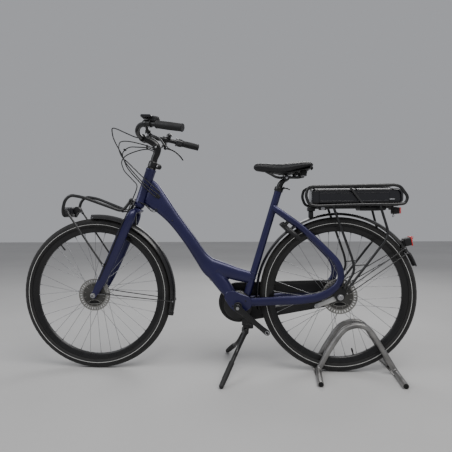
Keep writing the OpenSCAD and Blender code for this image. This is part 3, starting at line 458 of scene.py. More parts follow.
# ------------------------------------------------------------------ motor, cranks, chain case
P = Piece("motor_casing", "frame")
P.turn((107, 0, 305), (0, -1, 0), [(-38, 52), (-38, 60), (-34, 64), (30, 64), (33, 62), (35, 56), (38, 46), (38, 12.5)], case_plastic, 72, caps=False)
P.turn((107, 0, 305), (0, 1, 0), [(30, 60), (38, 58), (40, 54), (41, 30), (41, 12)], blk_plastic, 72, caps=False)
P.turn((107, -42, 305), (0, -1, 0), [(0, 13), (0, 19.4), (3.6, 19.4), (4.6, 18.4), (5, 16), (4.4, 13)], blk_plastic, 48, caps=False)
for k in range(18):
    a = 2 * pi * k / 18
    P.box((107 + 64 * math.cos(a), 0, 305 + 64 * math.sin(a)), (3.2, 56, 3.0), blk_plastic, 1.2, [[math.cos(a), 0, -math.sin(a)], [0, 1, 0], [math.sin(a), 0, math.cos(a)]])
P.done(["motor_housing"])
P = Piece("motor_cradle", "frame")
ck = catmull([(44, 347), (56, 321), (71, 300), (87, 285), (103, 277), (118, 275), (138, 279), (156, 290), (168, 302), (173, 321), (167, 339), (150, 352), (122, 362), (92, 374), (58, 372)], 5, True)
plate(P, ck, -43.6, -36, navy, bev=3.0)
for x, z in ((82, 306), (128, 290), (142, 330)):
    P.bolt((x, -43.2, z), (0, -1, 0), 3.6, 2.2, blk_alloy)
P.done()

cadmat("motor_rotor", steel); cadmat("chainring", steel); cadmat("rear_sprocket", steel); cadmat("chain", steel); cadmat("battery_cells", cellwrap)

P = Piece("crank_axle", "crank")
P.turn((107, -89, 305), (0, 1, 0), [(0, 5), (0, 7), (1, 7.6), (3, 7.6), (3, 9), (175, 9), (175, 7.6), (177, 7.6), (178, 7), (178, 5)], steel, 40)
for s in (-1, 1):
    P.turn((107, 86 * s, 305), (0, s, 0), [(-1, 8.8), (1.5, 8.8), (2.6, 8), (2.6, 4), (0, 4)], blk_alloy, 30)
P.done(["crank_spindle"])
def arm(s, ang):
    a = math.radians(ang); u = V(math.cos(a), 0, math.sin(a)); w = V(-math.sin(a), 0, math.cos(a)); c = V(107, 0, 305)
    st = [(-17.5, 4, 8.5), (-15, 12, 10.8), (-8, 16, 12.8), (0, 17, 13.4), (12, 16.4, 13.2), (30, 14.2, 11.2), (60, 12.6, 9.6), (100, 11.8, 9.2), (140, 11.6, 9.8), (156, 12.2, 11.4), (168, 13, 13.2), (178, 10.4, 12.6), (182.8, 3.6, 9)]
    st = catmull([(x, h, t, 0) for x, h, t in st], 4)
    rings = []
    y1 = 86.2 * s
    for x, h, t, _ in st:
        ring = []
        for j in range(28):
            cc, q = math.cos(2 * pi * j / 28), math.sin(2 * pi * j / 28)
            yy = (t / 2) * math.copysign(abs(q) ** 0.7, q); hh = h * math.copysign(abs(cc) ** 0.7, cc)
            ring.append(c + u * x + w * hh + V(0, y1 - s * t / 2 + yy, 0))
        rings.append(ring)
    return rings
P = Piece("crank_arm_pair", "crank")
for s, ang in ((-1, -39.9), (1, 140.1)):
    P.rings(arm(s, ang), blk_alloy)
    a = math.radians(ang); q = V(107 + 170 * math.cos(a), 0, 305 + 170 * math.sin(a))
    for e in (86.2, 72.5):
        P.turn(q + V(0, s * (e - 0.2), 0), (0, s if e > 80 else -s, 0), [(0, 9.5), (0.5, 9.3), (0.7, 8.2), (0.7, 7.3), (-2, 7.1)], steel, 36)
    # dark disc in the pedal eye: painted shade for the threaded hole
    P.turn(q + V(0, s * 84, 0), (0, s, 0), [(0, 7.1), (0.4, 7.1)], painted_shade_fill, 30)
    P.turn((107, s * 85, 305), (0, s, 0), [(0, 14), (1.8, 13.6), (2.4, 12.8), (2.4, 9.2)], blk_alloy, 40)
P.done(["crank_arms"])

# chain case: lofted shell with a rounded outline, seam and screws
def belt(r0, r1, n=64):
    d = RWc - BBc; D = math.hypot(d[0], d[2]); a = math.atan2(d[2], d[0]); g = math.acos((r0 - r1) / D)
    o = [BBc + V(r0 * math.cos(a + g + (2 * pi - 2 * g) * j / n), 0, r0 * math.sin(a + g + (2 * pi - 2 * g) * j / n)) for j in range(n + 1)]
    o += [RWc + V(r1 * math.cos(a - g + 2 * g * j / n), 0, r1 * math.sin(a - g + 2 * g * j / n)) for j in range(n + 1)]
    return o
def grow(poly, k):
    """offset of a closed XZ polygon by k"""
    n = len(poly); out = []
    for i in range(n):
        a, b = poly[i - 1], poly[(i + 1) % n]
        t = unit(b - a); out.append(poly[i] + k * V(t[2], 0, -t[0]))
    return out
P = Piece("chain_case_shell", "frame")
ob0 = belt(94, 58); ob1 = belt(90, 54); ob2 = belt(91, 55)
sl = catmull([(228, 0, 350), (350, 0, 354.5), (470, 0, 358), (478, 0, 340), (470, 0, 312), (385, 0, 299), (300, 0, 286), (236, 0, 276), (224, 0, 300), (225, 0, 325)], 8, True)
def at(poly, y):
    return [V(q[0], y, q[2]) for q in poly]
# outside band
P.rings([at(belt(94.1, 58.1), 42.0), at(belt(94.9, 58.9), 42.8), at(belt(95, 59), 45), at(belt(95, 59), 49.2), at(belt(94.4, 58.4), 49.6), at(belt(94.4, 58.4), 50.4), at(belt(95, 59), 50.8), at(belt(95, 59), 55), at(belt(94.9, 58.9), 57.2), at(belt(94.1, 58.1), 58.0)], case_plastic, caps=False)
chain_shell = P.done([], angle=45)
# faces of the case keep the CAD solid, so its window stays true
cadmat("chain_case", case_plastic)
P = Piece("chain_case_trim", "frame")
for y, s in ((58.0, 1), (42.0, -1)):
    edge = belt(84, 48, 90)
    P.sweep(at(edge, y + 0.2 * s), 1.6, case_plastic, n=8, closed=True)
    w = grow([np.array(q) for q in sl], 5)
    P.sweep(at(w, y + 0.1 * s), 1.3, case_plastic, n=8, closed=True)
for x, z in ((170, 384), (300, 391), (430, 398), (190, 232), (330, 262), (450, 287)):
    P.bolt((x, 58.2, z), (0, 1, 0), 3.6, 1.8, blk_alloy); P.bolt((x, 41.8, z), (0, -1, 0), 3.6, 1.8, blk_alloy)
P.turn((107, 58, 305), (0, 1, 0), [(-1, 34), (1.2, 34), (2, 32), (2, 28), (0.4, 26.4), (-2, 26.4)], case_plastic, 60)
P.turn((562.5, 58, 355), (0, 1, 0), [(-1, 36), (1.2, 36), (2, 34), (2, 30), (0.4, 28.4), (-2, 28.4)], case_plastic, 60)
P.done()

# ------------------------------------------------------------------ kickstand
KP, KM, KF = V(141, -30, 186), V(104.9, -56, 110.9), V(42, -220, 10.5)
kt = math.radians(18); ka = V(math.sin(kt), -math.cos(kt), 0)
P = Piece("kickstand_mount", "frame")
P.box((147, 0, 233), (46, 50, 34), blk_alloy, 5)
P.box((150, 0, 217.5), (52, 60, 6), blk_alloy, 2)
P.box((164, 0, 205), (26, 22, 26), blk_alloy, 7)
for s in (-1, 1):
    q = KP * V(1, -s, 1); a = ka * V(1, -s, 1); n_ = unit(np.cross(a, V(0, 0, 1)))
    for t0 in (-12.5,):
        c = q + a * t0
        P.turn(c - a * 8.0, a, [(0, 12), (1.0, 13.4), (15.4, 13.4), (16.4, 12)], blk_alloy, 40)
        P.box(c + V(5, 0, 17), (28, 15.5, 36), blk_alloy, 4, [[n_[0] * 1, a[0], 0], [n_[1] * 1, a[1], 0], [0, 0, 1]])
    P.bolt((147 - 12, 14 * s, 251), (0, 0, 1), 4.5, 3, steel)
P.turn((147, 0, 209), (0, 0, -1), [(-2, 9), (3, 9), (4, 8), (4, 4.4), (1, 4.4)], steel, 24)
P.done(["kickstand_bracket"])
for s, body, node in ((-1, "kick_left", "kickstand_leg_left"), (1, "kick_right", "kickstand_leg_right")):
    f = (lambda q: q) if s < 0 else m_
    P = Piece(("left" if s < 0 else "right") + "_stand_leg", body)
    q0, qm, q1 = f(KP), f(KM), f(KF); a = f(ka)
    P.turn(q0 - a * 3.7, a, [(0, 11.4), (0.9, 12.4), (14, 12.4), (15, 11.4), (15, 5.2)], blk_alloy, 40)
    P.turn(q0 - a * 19, a, [(0, 3.4), (0.6, 4.8), (19, 4.8)], steel, 30)
    hl = q0 + f(V(1.8, -5.4, 0))
    pth = bent([hl, qm, q1], 26, 10)
    P.sweep(pth, 9.6, blk_alloy, n=28)
    d = unit(q1 - qm); st = qm + 0.36 * (q1 - qm); LL = np.linalg.norm(q1 - st)
    prof = [(0, 9.8), (1.5, 11.2), (3, 11.5)]
    k = 0
    while 6 + k * 6 < LL - 12:
        rr = 12.0 if 8 + k * 6 < LL - 34 else 11.0; prof += [(6 + k * 6, rr), (8.5 + k * 6, rr), (9.5 + k * 6, rr - 0.6), (11 + k * 6, rr - 0.6)]; k += 1
    prof = [p for p in prof if p[0] < LL - 6] + [(LL - 4, 10.5), (LL, 10.3), (LL + 4, 9.2), (LL + 7.5, 6.6), (LL + 9.2, 3)]
    P.turn(st, d, prof, grip_m, 36)
    P.turn(hl + unit(qm - hl) * 6, unit(qm - hl), [(0, 9.7), (1, 10.8), (7, 10.8), (8, 9.7)], blk_alloy, 30)
    P.done([node])

# ------------------------------------------------------------------ seat
P = Piece("seat_clamp", "frame")
P.turn(ST1 - 14 * sd, sd, [(0, 17.2), (0, 19.8), (1, 20.5), (17, 20.5), (19, 19.6), (19, 13.9)], blk_alloy, 48)
c = ST1 - 5 * sd
P.tube(c + V(22, -13, 6), c + V(22, 13, 6), 5.6, blk_alloy)
lvp = catmull([c + V(22, -12.5, 6), c + V(31, -15.5, 5), c + V(40, -16, 2.5), c + V(47, -13, -0.5)], 6)
P.sweep(lvp, [5.2, 5, 4.8, 4.6] + [4.4] * (len(lvp) - 4), blk_alloy, [3.2] * len(lvp), n=20, round_end=True)
P.bolt(c + V(22, 13, 6), (0, 1, 0), 5, 3, steel)
P.done(["seat_collar"])

P = Piece("seat_post", "seat")
pe = ST1 + 22 * sd
neck = catmull([ST1 + 4 * sd, ST1 + 16 * sd, pe + V(2, 0, 2), V(312, 0, 873), V(320, 0, 880), V(331, 0, 889)], 8)
P.turn(ST0 + 310 * sd, sd, [(0, 12.6), (1, 13.6), (LL_ := float(np.linalg.norm(ST1 + 8 * sd - (ST0 + 310 * sd))), 13.6)], blk_alloy, 44)
P.sweep(neck, [13.6] * 10 + [13.4 - 0.12 * i for i in range(len(neck) - 10)], blk_alloy, n=36)
P.tube(V(331, -20, 889), V(331, 20, 889), 10.4, blk_alloy, 40, ch=1.5)
for s in (-1, 1):
    P.turn(V(331, 19 * s, 889), (0, s, 0), [(0, 9.4), (0, 12.4), (1.5, 13.2), (9, 13.2), (11, 12), (11, 6)], blk_alloy, 36)
    P.hexnut((331, 30 * s, 889), (0, s, 0), 6, 5, steel, washer=False)
    for x in (316, 346):
        P.box((x, 24.5 * s, 896.2), (7, 9.5, 7), blk_alloy, 2)
P.done(["seatpost"])

P = Piece("saddle_rail_pair", "seat")
rail = bent([(238, -12, 921), (256, -16, 912), (290, -24, 893), (360, -24, 893), (392, -34, 893), (416, -42, 899)], 16, 8)
P.sweep(rail, 3.6, blk_alloy, n=16, mirror=True, round_end=True)
P.done(["saddle_rails"])

sad = [[184, 950, 934, 11], [191, 957, 929, 17], [205, 960, 926, 21], [240, 958, 921, 25], [278, 956, 912, 34], [312, 956, 907, 51], [345, 958, 908, 69], [380, 961, 914, 82], [412, 963, 920, 86], [434, 961, 926, 78], [445, 954, 932, 58]]
sst = catmull(sad, 5)
def sad_ring(s, n=56, grow_=0.0, skirt=0.0):
    x, zt, zb, w = s; ring = []
    u = (x - 184) / 261.0
    for j in range(n):
        c, q = math.cos(2 * pi * j / n), math.sin(2 * pi * j / n)
        y = -(w + grow_) * math.copysign(abs(q) ** 0.8, q)
        zm = (zt + zb + 6) / 2; hz = (zt - zb - 6) / 2
        z = zm + hz * math.copysign(abs(c) ** 0.8, c)
        if c > 0:
            # soft crown with a shallow groove down the middle of the rear half
            t = abs(y) / (w + 1e-6)
            z -= 3.0 * t * t
            z -= 2.2 * math.exp(-(y / 9.0) ** 2) * max(0.0, min(1.0, (u - 0.3) * 3)) * max(0.0, min(1.0, (1.0 - u) * 6))
        else:
            z -= (skirt + float(np.interp(u, [0, 0.04, 0.15, 0.4, 0.6, 0.85, 1.0], [7.0, 11.0, 12.0, 9.5, 8.5, 5.0, 2.0]))) * abs(c) ** 0.6 * (0.55 + 0.45 * min(1.0, abs(y) / (w + 1e-6) * 1.6))
        ring.append(V(x, y, z))
    return ring
P = Piece("saddle_top", "seat")
front = [sst[0] * V(1, 1, 1, 0) + V(-2.6, -4.5, 4.5, 4.5)]
rings = [sad_ring(V(181.6, 946.5, 937.5, 5.5))] + [sad_ring(s) for s in sst] + [sad_ring(V(448.5, 947, 934, 34)), sad_ring(V(449.6, 944.5, 936, 18))]
P.rings(rings, saddle_m)
saddle_ob = P.done(["saddle_pad"], angle=180, sub=1)
# piping round the lower edge, and two stitched seams over the cover
P = Piece("saddle_seams", "seat")
edge = []
for s in sst[2:]:
    x, zt, zb, w = s
    edge.append(V(x, -(w + 0.4), (zt + zb + 6) / 2 - 2.5))
P.sweep(catmull(edge, 3), 1.1, stitch_m, n=8, mirror=True)
for s in sst[8:-4]:
    pass
top = []
for s in sst[10:-5]:
    x, zt, zb, w = s; ring = sad_ring(s, 200)
    k = min(range(0, 50), key=lambda i: abs(abs(ring[i][1]) - 0.62 * w)); top.append(ring[k] + V(0, 0, 0.25))
tp = catmull(top, 6)
for i in range(0, len(tp) - 2, 2):
    P.sweep([tp[i], (tp[i] + tp[i + 1]) / 2 + V(0, 0, 0.35), tp[i + 1]], 0.55, stitch_m, n=6, mirror=True)
P.done()
P = Piece("saddle_shell", "seat")
rings = []
for s in catmull([sad[i] for i in range(2, len(sad) - 1)], 4):
    w = s[3] - 7
    rings.append([V(s[0], -w * math.copysign(abs(math.sin(2 * pi * j / 36)) ** 0.8, math.sin(2 * pi * j / 36)), s[2] + 3 + 4.5 * math.copysign(abs(math.cos(2 * pi * j / 36)) ** 0.8, math.cos(2 * pi * j / 36))) for j in range(36)])
P.rings(rings, blk_plastic)
for s in (-1, 1):
    for k in range(5):
        P.box((300 + k * 24, s * (18 + k * 7), 907 + k * 1.2), (2.5, 18 + 6 * k, 6), blk_plastic, 1)
P.box((410, 0, 916), (30, 40, 14), blk_plastic, 5)
P.box((448, 0, 933), (6, 44, 12), blk_plastic, 2.5)
P.done(["saddle_base"])
P = Piece("saddle_elastomers", "seat")
for s in (-1, 1):
    prof = [(0, 9), (0, 12.5)]
    for k in range(4):
        prof += [(1 + k * 5.2, 13.6), (2.2 + k * 5.2, 15), (4.0 + k * 5.2, 15), (5.2 + k * 5.2, 13.6)]
    prof += [(22, 12)]
    P.turn((404, 46 * s, 896), (0, 0, 1), prof, elast, 44)
    P.turn((404, 46 * s, 893.5), (0, 0, 1), [(0, 8), (0, 11), (2.5, 11), (2.5, 5)], steel, 36)
    P.turn((372, 36 * s, 899), (0, 0, 1), [(0, 7), (0, 9), (4, 8.2), (8, 9), (12, 8.2), (14, 7)], elast, 36)
P.done(["saddle_springs"])

# ------------------------------------------------------------------ rack and battery
rk = [(437, -67, 846), (792, -67, 850), (820, -67, 843), (853, -67, 796), (841, -67, 768), (818, -67, 765), (655, -67, 765), (452, -67, 760), (425, -67, 768), (411, -67, 806), (420, -67, 838)]
P = Piece("rack_tubes", "frame")
P.sweep(cutloop(rk, 15, 8), 6.5, blk_tube, n=24, closed=True, mirror=True)
P.sweep([(600, -67, 846), (661, -67, 766)], 4.5, blk_tube, n=20, mirror=True)
for x in (452, 640, 800):
    z = 846.3 if x < 500 else (849.5 if x > 700 else 848.5)
    P.sweep([(x, -67, z), (x, 67, z)], 4, blk_tube, n=20, up=(0, 0, 1))
P.done(["rack_frame"], angle=50)
P = Piece("rack_legs", "frame")
P.sweep(bent([(529, -67, 764), (614, -77, 521), (621, -80, 472), (586, -81, 414), (581, -81, 402)], 26, 10), 5.5, blk_tube, n=22, mirror=True)
P.sweep(bent([(733, -67, 765), (766, -76, 647), (757, -79, 612), (604, -82, 410), (590, -82, 395)], 26, 10), 5.5, blk_tube, n=22, mirror=True)
P.sweep([(617, -79, 497), (676, -80.5, 502)], 3, blk_tube, n=16, mirror=True)
P.turn((578, -68, 396), (0, -1, 0), [(0, 7), (0, 8), (20, 8), (20, 5)], blk_alloy, 32, mirror=True)
P.turn((581, -81, 402), unit(V(581, -81, 402) - V(586, -81, 414)), [(-3, 5.4), (2, 6.4), (10, 6.4), (12, 5)], blk_tube, 20, mirror=True)
P.done(["rack_stays"], angle=50)
P = Piece("rack_tray_moulding", "frame")
P.box((545, 0, 761.3), (130, 118, 8), blk_plastic, 3)
P.box((715, 0, 761.3), (200, 118, 8), blk_plastic, 3)
P.box((712, 0, 748.5), (114, 90, 19), blk_plastic, 7)
P.box((712, 0, 741), (80, 70, 6), blk_plastic, 2.5)
P.box((444, 0, 747), (32, 48, 20), blk_plastic, 5)
P.box((443, 0, 722), (20, 32, 34), blk_plastic, 5)
P.box((628, -38, 755), (330, 6, 14), blk_plastic, 2.4, mirror=True)
P.box((487, -52, 749), (34, 20, 15), blk_plastic, 4)
P.turn((487, -61, 749), (0, -1, 0), [(0, 8), (0.6, 8.6), (3, 8.6), (3.6, 7.6), (3.6, 5.6), (2.6, 5.4), (2.6, 2)], steel, 36)
# dark slit in the lock face: painted shade for the keyway
P.box((487, -64.4, 749), (1.2, 1, 5), painted_shade_fill, 0.4)
P.box((803, 0, 749), (13, 40, 16), blk_plastic, 3)
for x in (540, 690, 760):
    P.box((x, -60, 762), (14, 15, 12), blk_plastic, 3, mirror=True)
    P.bolt((x, -67.5, 762), (0, -1, 0), 3.6, 2.4, steel, mirror=True)
P.done(["rack_tray"])
# battery: long rounded shell with a seam, end caps and a recessed status panel
def batt_ring(x, grow_=0.0):
    hz = 36 + grow_; hy = 57 + grow_; ring = []
    for j in range(48):
        c, q = math.cos(2 * pi * j / 48), math.sin(2 * pi * j / 48)
        ring.append(V(x, hy * math.copysign(abs(q) ** 0.27, q), 802 + hz * math.copysign(abs(c) ** (0.27 if c < 0 else 0.42), c)))
    return ring
P = Piece("battery_shell", "battery")
xs = [(441, -9), (441.6, -5), (444, -2.2), (449, -0.8), (456, -0.2), (470, -0.2), (471, -1.2), (473, -1.2), (474, -0.2)] + [(480 + 20 * i, -0.2) for i in range(15)] + [(776, -0.2), (777, -1.2), (779, -1.2), (780, -0.2)]
for k in range(1, 9):
    a = pi / 2 * k / 8
    xs.append((811 + 33 * math.sin(a) - 0.3, -0.2 - 33 * (1 - math.cos(a)) * 0.62 if k < 8 else -22))
rings = [batt_ring(x, g) for x, g in xs]
P.rings(rings, gloss_plastic)
for s in (-1, 1):
    P.box((625, 57.1 * s, 781), (300, 1.6, 3.0), gloss_plastic, 0.7)
    P.box((625, 57.1 * s, 816), (300, 1.6, 3.0), gloss_plastic, 0.7)
    P.box((789, 56.6 * s, 788), (30, 2, 9), blk_plastic, 0.9)
    P.box((789, 57.5 * s, 788), (22, 0.8, 4.0), clear_lens, 0.3)
P.box((842, 0, 799), (3.4, 62, 14), blk_plastic, 1.5)
P.done(["battery_case"], angle=40)

# ------------------------------------------------------------------ mudguards
def guard(P, c, a0, a1, rin, w, t, m, lip=True, n=120, cr=9):
    rings = []
    for i in range(n + 1):
        f = i / n
        a = math.radians(a0 + (a1 - a0) * f); e = V(math.cos(a), 0, math.sin(a))
        endf = min(1.0, min(f, 1 - f) * n / 3.0); ww = w * (0.62 + 0.38 * math.sqrt(max(0.0, 1 - (1 - endf) ** 2)))
        out, inn = [], []
        for k in range(-10, 11):
            s = k / 10; y = ww * s; h = rin + cr * (1 - s * s)
            out.append(c + e * (h + t) + V(0, y, 0)); inn.append(c + e * h + V(0, y, 0))
        rings.append(out + inn[::-1])
    P.rings(rings, m)
    if lip:
        for s in (-1, 1):
            pth = [c + V(math.cos(math.radians(a0 + (a1 - a0) * (i + 1.5) / (n + 3))), 0, math.sin(math.radians(a0 + (a1 - a0) * (i + 1.5) / (n + 3)))) * (rin + 1) + V(0, w * s, 0) for i in range(n + 1)]
            P.sweep(pth, 1.5, m, n=8)
P = Piece("rear_guard", "frame")
guard(P, RWc, 30, 191, 364, 29, 2, guard_plastic)
guard(P, RWc, 20.5, 31, 366.5, 25, 3, grip_m, lip=False, n=20)
for a, b, c_ in (((592, -75, 397), (609, -78, 408), (855, -31, 568)), ((594, -74, 372), (612, -77, 383), (866, -31, 547))):
    P.sweep(bent([a, b, c_], 8, 6), 2.2, blk_tube, n=12, mirror=True)
for x, z in ((855, 568), (866, 547)):
    P.box((x, -30, z), (14, 4, 10), blk_plastic, 1.8, mirror=True); P.bolt((x, -32, z), (0, -1, 0), 2.8, 1.8, steel, mirror=True)
P.bolt(RWc + V(0, 0, 375), (0, 0, 1), 4, 2, steel)
P.done(["rear_mudguard"], angle=40)
P = Piece("front_guard", "steering")
guard(P, FWc, -14.5, 94, 355, 29, 2, guard_plastic, cr=18)
P.sweep(bent([(-540, -55.2, 364), (-440, -46, 351), (-196, -29.5, 322)], 30, 8), 2.2, blk_tube, n=12, mirror=True)
P.box((-375, 0, 706), (6, 18, 64), blk_alloy, 2)
P.bolt((-378.5, 0, 722), (-1, 0, 0), 4.2, 2.4, steel)
P.box((-197, -29.5, 322), (12, 4, 12), blk_plastic, 1.6, mirror=True)
P.bolt((-197, -31.5, 322), (0, -1, 0), 2.8, 1.8, steel, mirror=True)
# lower mud flap edge
guard(P, FWc, -16.2, -13.8, 358, 26, 2.6, grip_m, lip=False, n=8, cr=16)
P.done(["front_mudguard"], angle=40)

# ------------------------------------------------------------------ rear lamp, reflector
P = Piece("tail_lamp", "frame")
P.box((816, 0, 738), (21, 35, 32), blk_plastic, 5)
P.box((830, 0, 738), (14, 33.5, 29.5), blk_plastic, 4)
for k in range(5):
    P.box((838, 0, 727 + 5.5 * k), (10, 32, 5.0), red_lens, 2.0)
P.box((806, 0, 752), (10, 22, 10), steel, 1.5)
P.sweep(catmull([(812, -8, 723), (806, -9, 715), (808, -9, 709), (814, -8, 716), (806, -6, 728), (800, -5, 742)], 6), 1.1, cable_m, n=8)
P.done(["rear_light"], angle=35)
c12, s12 = math.cos(math.radians(-12)), math.sin(math.radians(-12))
RR = [[c12, 0, s12], [0, 1, 0], [-s12, 0, c12]]
P = Piece("rear_reflector_lens", "frame")
P.box((873.5, 0, 596.4), (34, 37, 37), blk_plastic, 6, RR)
P.box((860, 0, 590), (16, 30, 30), blk_plastic, 5, RR)
# the red lens glows here with painted light; the reflector gives no light of its own
P.box((889, 0, 600), (6, 35, 43), red_lens, 2, RR)
for k in range(6):
    P.box((892.5 + 1.4 * (k - 2.5), 0, 583 + 7 * k), (1.4, 31, 4.6), red_lens, 0.6, RR)
P.done(["rear_reflector"])

# ------------------------------------------------------------------ ring lock
cadmat("ring_lock", blk_plastic); cadmat("lock_shackle", chrome)
P = Piece("ring_lock_cover", "frame")
LC = V(366, 0, 630); th = math.radians(40.8)
RL = np.array([[math.cos(th), 0, math.sin(th)], [0, 1, 0], [-math.sin(th), 0, math.cos(th)]])
def lk(x, y, z):
    return LC + RL @ V(x, y, z)
for a0, a1 in ((64, 170), (190, 296)):
    pth = [lk(62.5 * math.cos(math.radians(a0 + (a1 - a0) * j / 40)), 62.5 * math.sin(math.radians(a0 + (a1 - a0) * j / 40)), 0) for j in range(41)]
    P.sweep(pth, 8.4, blk_plastic, 11.0, n=24, up=tuple(RL @ V(0, 0, 1) * 0 + V(0, 1, 0.02)), round_end=False)
P.box(lk(-66, 0, 0), (30, 82, 20), blk_plastic, 6, RL)
P.box(lk(-70, -24, 10), (18, 20, 8), blk_plastic, 3, RL)
P.turn(lk(-66, 22, 9), RL @ V(0, 0, 1), [(0, 9), (2.5, 8.6), (3.2, 7.6), (3.2, 6.2), (2.4, 6)], steel, 32)
# dark slit in the key cylinder: painted shade for the keyway
P.box(lk(-66, 22, 12), (1.4, 6, 1.2), painted_shade_fill, 0.5, RL)
P.done()

# ------------------------------------------------------------------ wheels
def lerp(a, b, t):
    return a + (b - a) * t

def make_tyre(name, c, body, node):
    """hollow tyre with tread blocks, a shoulder rib, a reflective stripe and a bead"""
    seg = 312; prof = []
    w, rc, yc = 23.5, R - 23.5, 0
    # profile from near bead over the tread to the far bead: (radius, y, zone)
    for i in range(57):
        a = -136 + 272 * i / 56
        r = rc + w * math.cos(math.radians(a)); y = w * math.sin(math.radians(a))
        prof.append((r, y, a))
    prof = [p for p in prof if p[0] > 313]
    verts = []; k = len(prof)
    for i in range(seg):
        ph = 2 * pi * i / seg; e = V(math.cos(ph), 0, math.sin(ph))
        for j, (r, y, a) in enumerate(prof):
            d = 0.0; aa = abs(a)
            if aa < 9:
                d = -0.0
            elif aa < 13:
                d = -1.7
            elif aa < 31:
                d = -1.6 if (i + (1 if a > 0 else 0) * 2 + int(aa / 6)) % 4 == 0 else 0.0
            elif aa < 35:
                d = -1.4
            elif aa < 50:
                d = -1.3 if (i + (0 if a > 0 else 2)) % 6 in (0, 1) else 0.0
            elif 74 < aa < 77 or 93 < aa < 95:
                d = 0.5
            verts.append(c + e * (r + d * math.cos(math.radians(a))) + V(0, y + d * math.sin(math.radians(a)), 0))
    # inner wall
    inner = []
    for j, (r, y, a) in enumerate(prof):
        inner.append((rc + (w - 3.4) * math.cos(math.radians(a)), (w - 3.4) * math.sin(math.radians(a))))
    for i in range(seg):
        ph = 2 * pi * i / seg; e = V(math.cos(ph), 0, math.sin(ph))
        for r, y in inner:
            verts.append(c + e * r + V(0, y, 0))
    faces = []; mid = []; o = seg * k
    for i in range(seg):
        n = (i + 1) % seg
        for j in range(k - 1):
            faces.append((i * k + j, i * k + j + 1, n * k + j + 1, n * k + j))
            a = abs((prof[j][2] + prof[j + 1][2]) / 2)
            mid.append(1 if a < 52 else (2 if 96.5 < a < 104 else 0))
            faces.append((o + i * k + j, o + n * k + j, o + n * k + j + 1, o + i * k + j + 1)); mid.append(0)
        faces.append((i * k, n * k, o + n * k, o + i * k)); mid.append(0)
        faces.append((i * k + k - 1, o + i * k + k - 1, o + n * k + k - 1, n * k + k - 1)); mid.append(0)
    P = Piece(name, body)
    P.v = [tuple(q) for q in verts]; P.f = faces; P.m = mid; P.mats = [rubber, tread_m, stripe_m]
    return P.done([node], angle=32)
make_tyre("rear_tyre_casing", RWc, "rear_wheel", "rear_tyre")
make_tyre("front_tyre_casing", FWc, "front_wheel", "front_tyre")

def make_rim(name, c, body, node):
    P = Piece(name, body)
    prof = [(289, -5), (289, 5), (290.2, 7), (294, 9.4), (301, 11.4), (308, 14.2), (310, 14.6), (317, 14.6), (318, 14), (318, 12.3), (310, 11.2), (306, 9), (306, -9), (310, -11.2), (318, -12.3), (318, -14), (317, -14.6), (310, -14.6), (308, -14.2), (301, -11.4), (294, -9.4), (290.2, -7)]
    seg = 200
    rings = [[c + V(math.cos(2 * pi * i / seg) * r, y, math.sin(2 * pi * i / seg) * r) for r, y in prof] for i in range(seg)]
    P.rings(rings, rim_alloy, closed=True)
    return P.done([node], angle=30)
make_rim("rear_rim_hoop", RWc, "rear_wheel", "rear_rim")
make_rim("front_rim_hoop", FWc, "front_wheel", "front_rim")

def nipples(name, c, body, ya, yb, rf, turn, vang):
    P = Piece(name, body)
    for i in range(36):
        side = i % 2; pair = i // 2; w = (1 if pair % 2 == 0 else -1) * 58; a = 10.0 * i + turn
        y = (ya if side == 0 else yb) + (2.3 if pair % 2 == 0 else -2.3)
        p = c + V(rf * math.cos(math.radians(a + w)), y, rf * math.sin(math.radians(a + w)))
        q = c + V(291 * math.cos(math.radians(a)), -2 if side == 0 else 2, 291 * math.sin(math.radians(a)))
        d = unit(q - p); L = np.linalg.norm(q - p)
        P.turn(p + d * (L - 14), d, [(0, 1.1), (0.5, 1.7), (8, 2.0), (9, 2.9), (12.5, 2.9), (13.5, 2.2)], spoke_m, 12)
        # spoke elbow at the flange
        P.turn(p - d * 1.0, d, [(-2.2, 0.9), (-1.4, 2.0), (0.6, 2.0), (1.6, 1.1)], spoke_m, 10)
    a = math.radians(vang); e = V(-math.cos(a), 0, -math.sin(a)); b = c - e * 291
    P.turn(b, e, [(-2, 3.2), (0, 5.2), (3, 5.2), (3.6, 3.4), (16, 3.2), (16.5, 4.2), (30, 4.0), (33, 3.2), (33.6, 1.5)], blk_plastic, 20)
    return P.done(angle=35)
nipples("rear_nipples_valve", RWc, "rear_wheel", -28.25, 30.25, 41, 7.6, -75.3)
nipples("front_nipples_valve", FWc, "front_wheel", -28.25, 32.25, 27.5, 2, 127.7)
cadmat("rear_spokes", spoke_m); cadmat("front_spokes", spoke_m)

def make_hub(name, c, body, node, a, b, r, rf, drum):
    P = Piece(name, body)
    y = lambda t: t
    if drum:
        prof = [(a, 8.4), (a, rf - 8), (a + 0.3, rf), (a + 3.4, rf), (a + 3.6, r + 3), (a + 6, r + 0.6), (a + 10, r), (-4, r), (-3, r + 0.7), (3, r + 0.7), (4, r), (b - 10, r), (b - 6, r + 0.6), (b - 3.6, r + 3), (b - 3.4, rf), (b - 0.3, rf), (b, rf - 8), (b, 8.4)]
    else:
        prof = [(a, 8.4), (a, rf - 6), (a + 0.3, rf), (a + 3.4, rf), (a + 3.6, r + 4), (a + 8, r + 1), (a + 14, r), (b - 14, r), (b - 8, r + 1), (b - 3.6, r + 4), (b - 3.4, rf), (b - 0.3, rf), (b, rf - 6), (b, 8.4)]
    P.turn(c, (0, 1, 0), prof, alloy, 64, caps=False)
    for k in range(36):
        ang = 2 * pi * (k + 0.5) / 36; yy = a if k % 2 else b - 0.2
    return P.done([node], angle=35)
make_hub("rear_hub_shell", RWc, "rear_wheel", "rear_hub", -30, 32, 33, 45, True)
make_hub("front_hub_shell", FWc, "front_wheel", "front_hub", -30, 34, 20, 31, False)

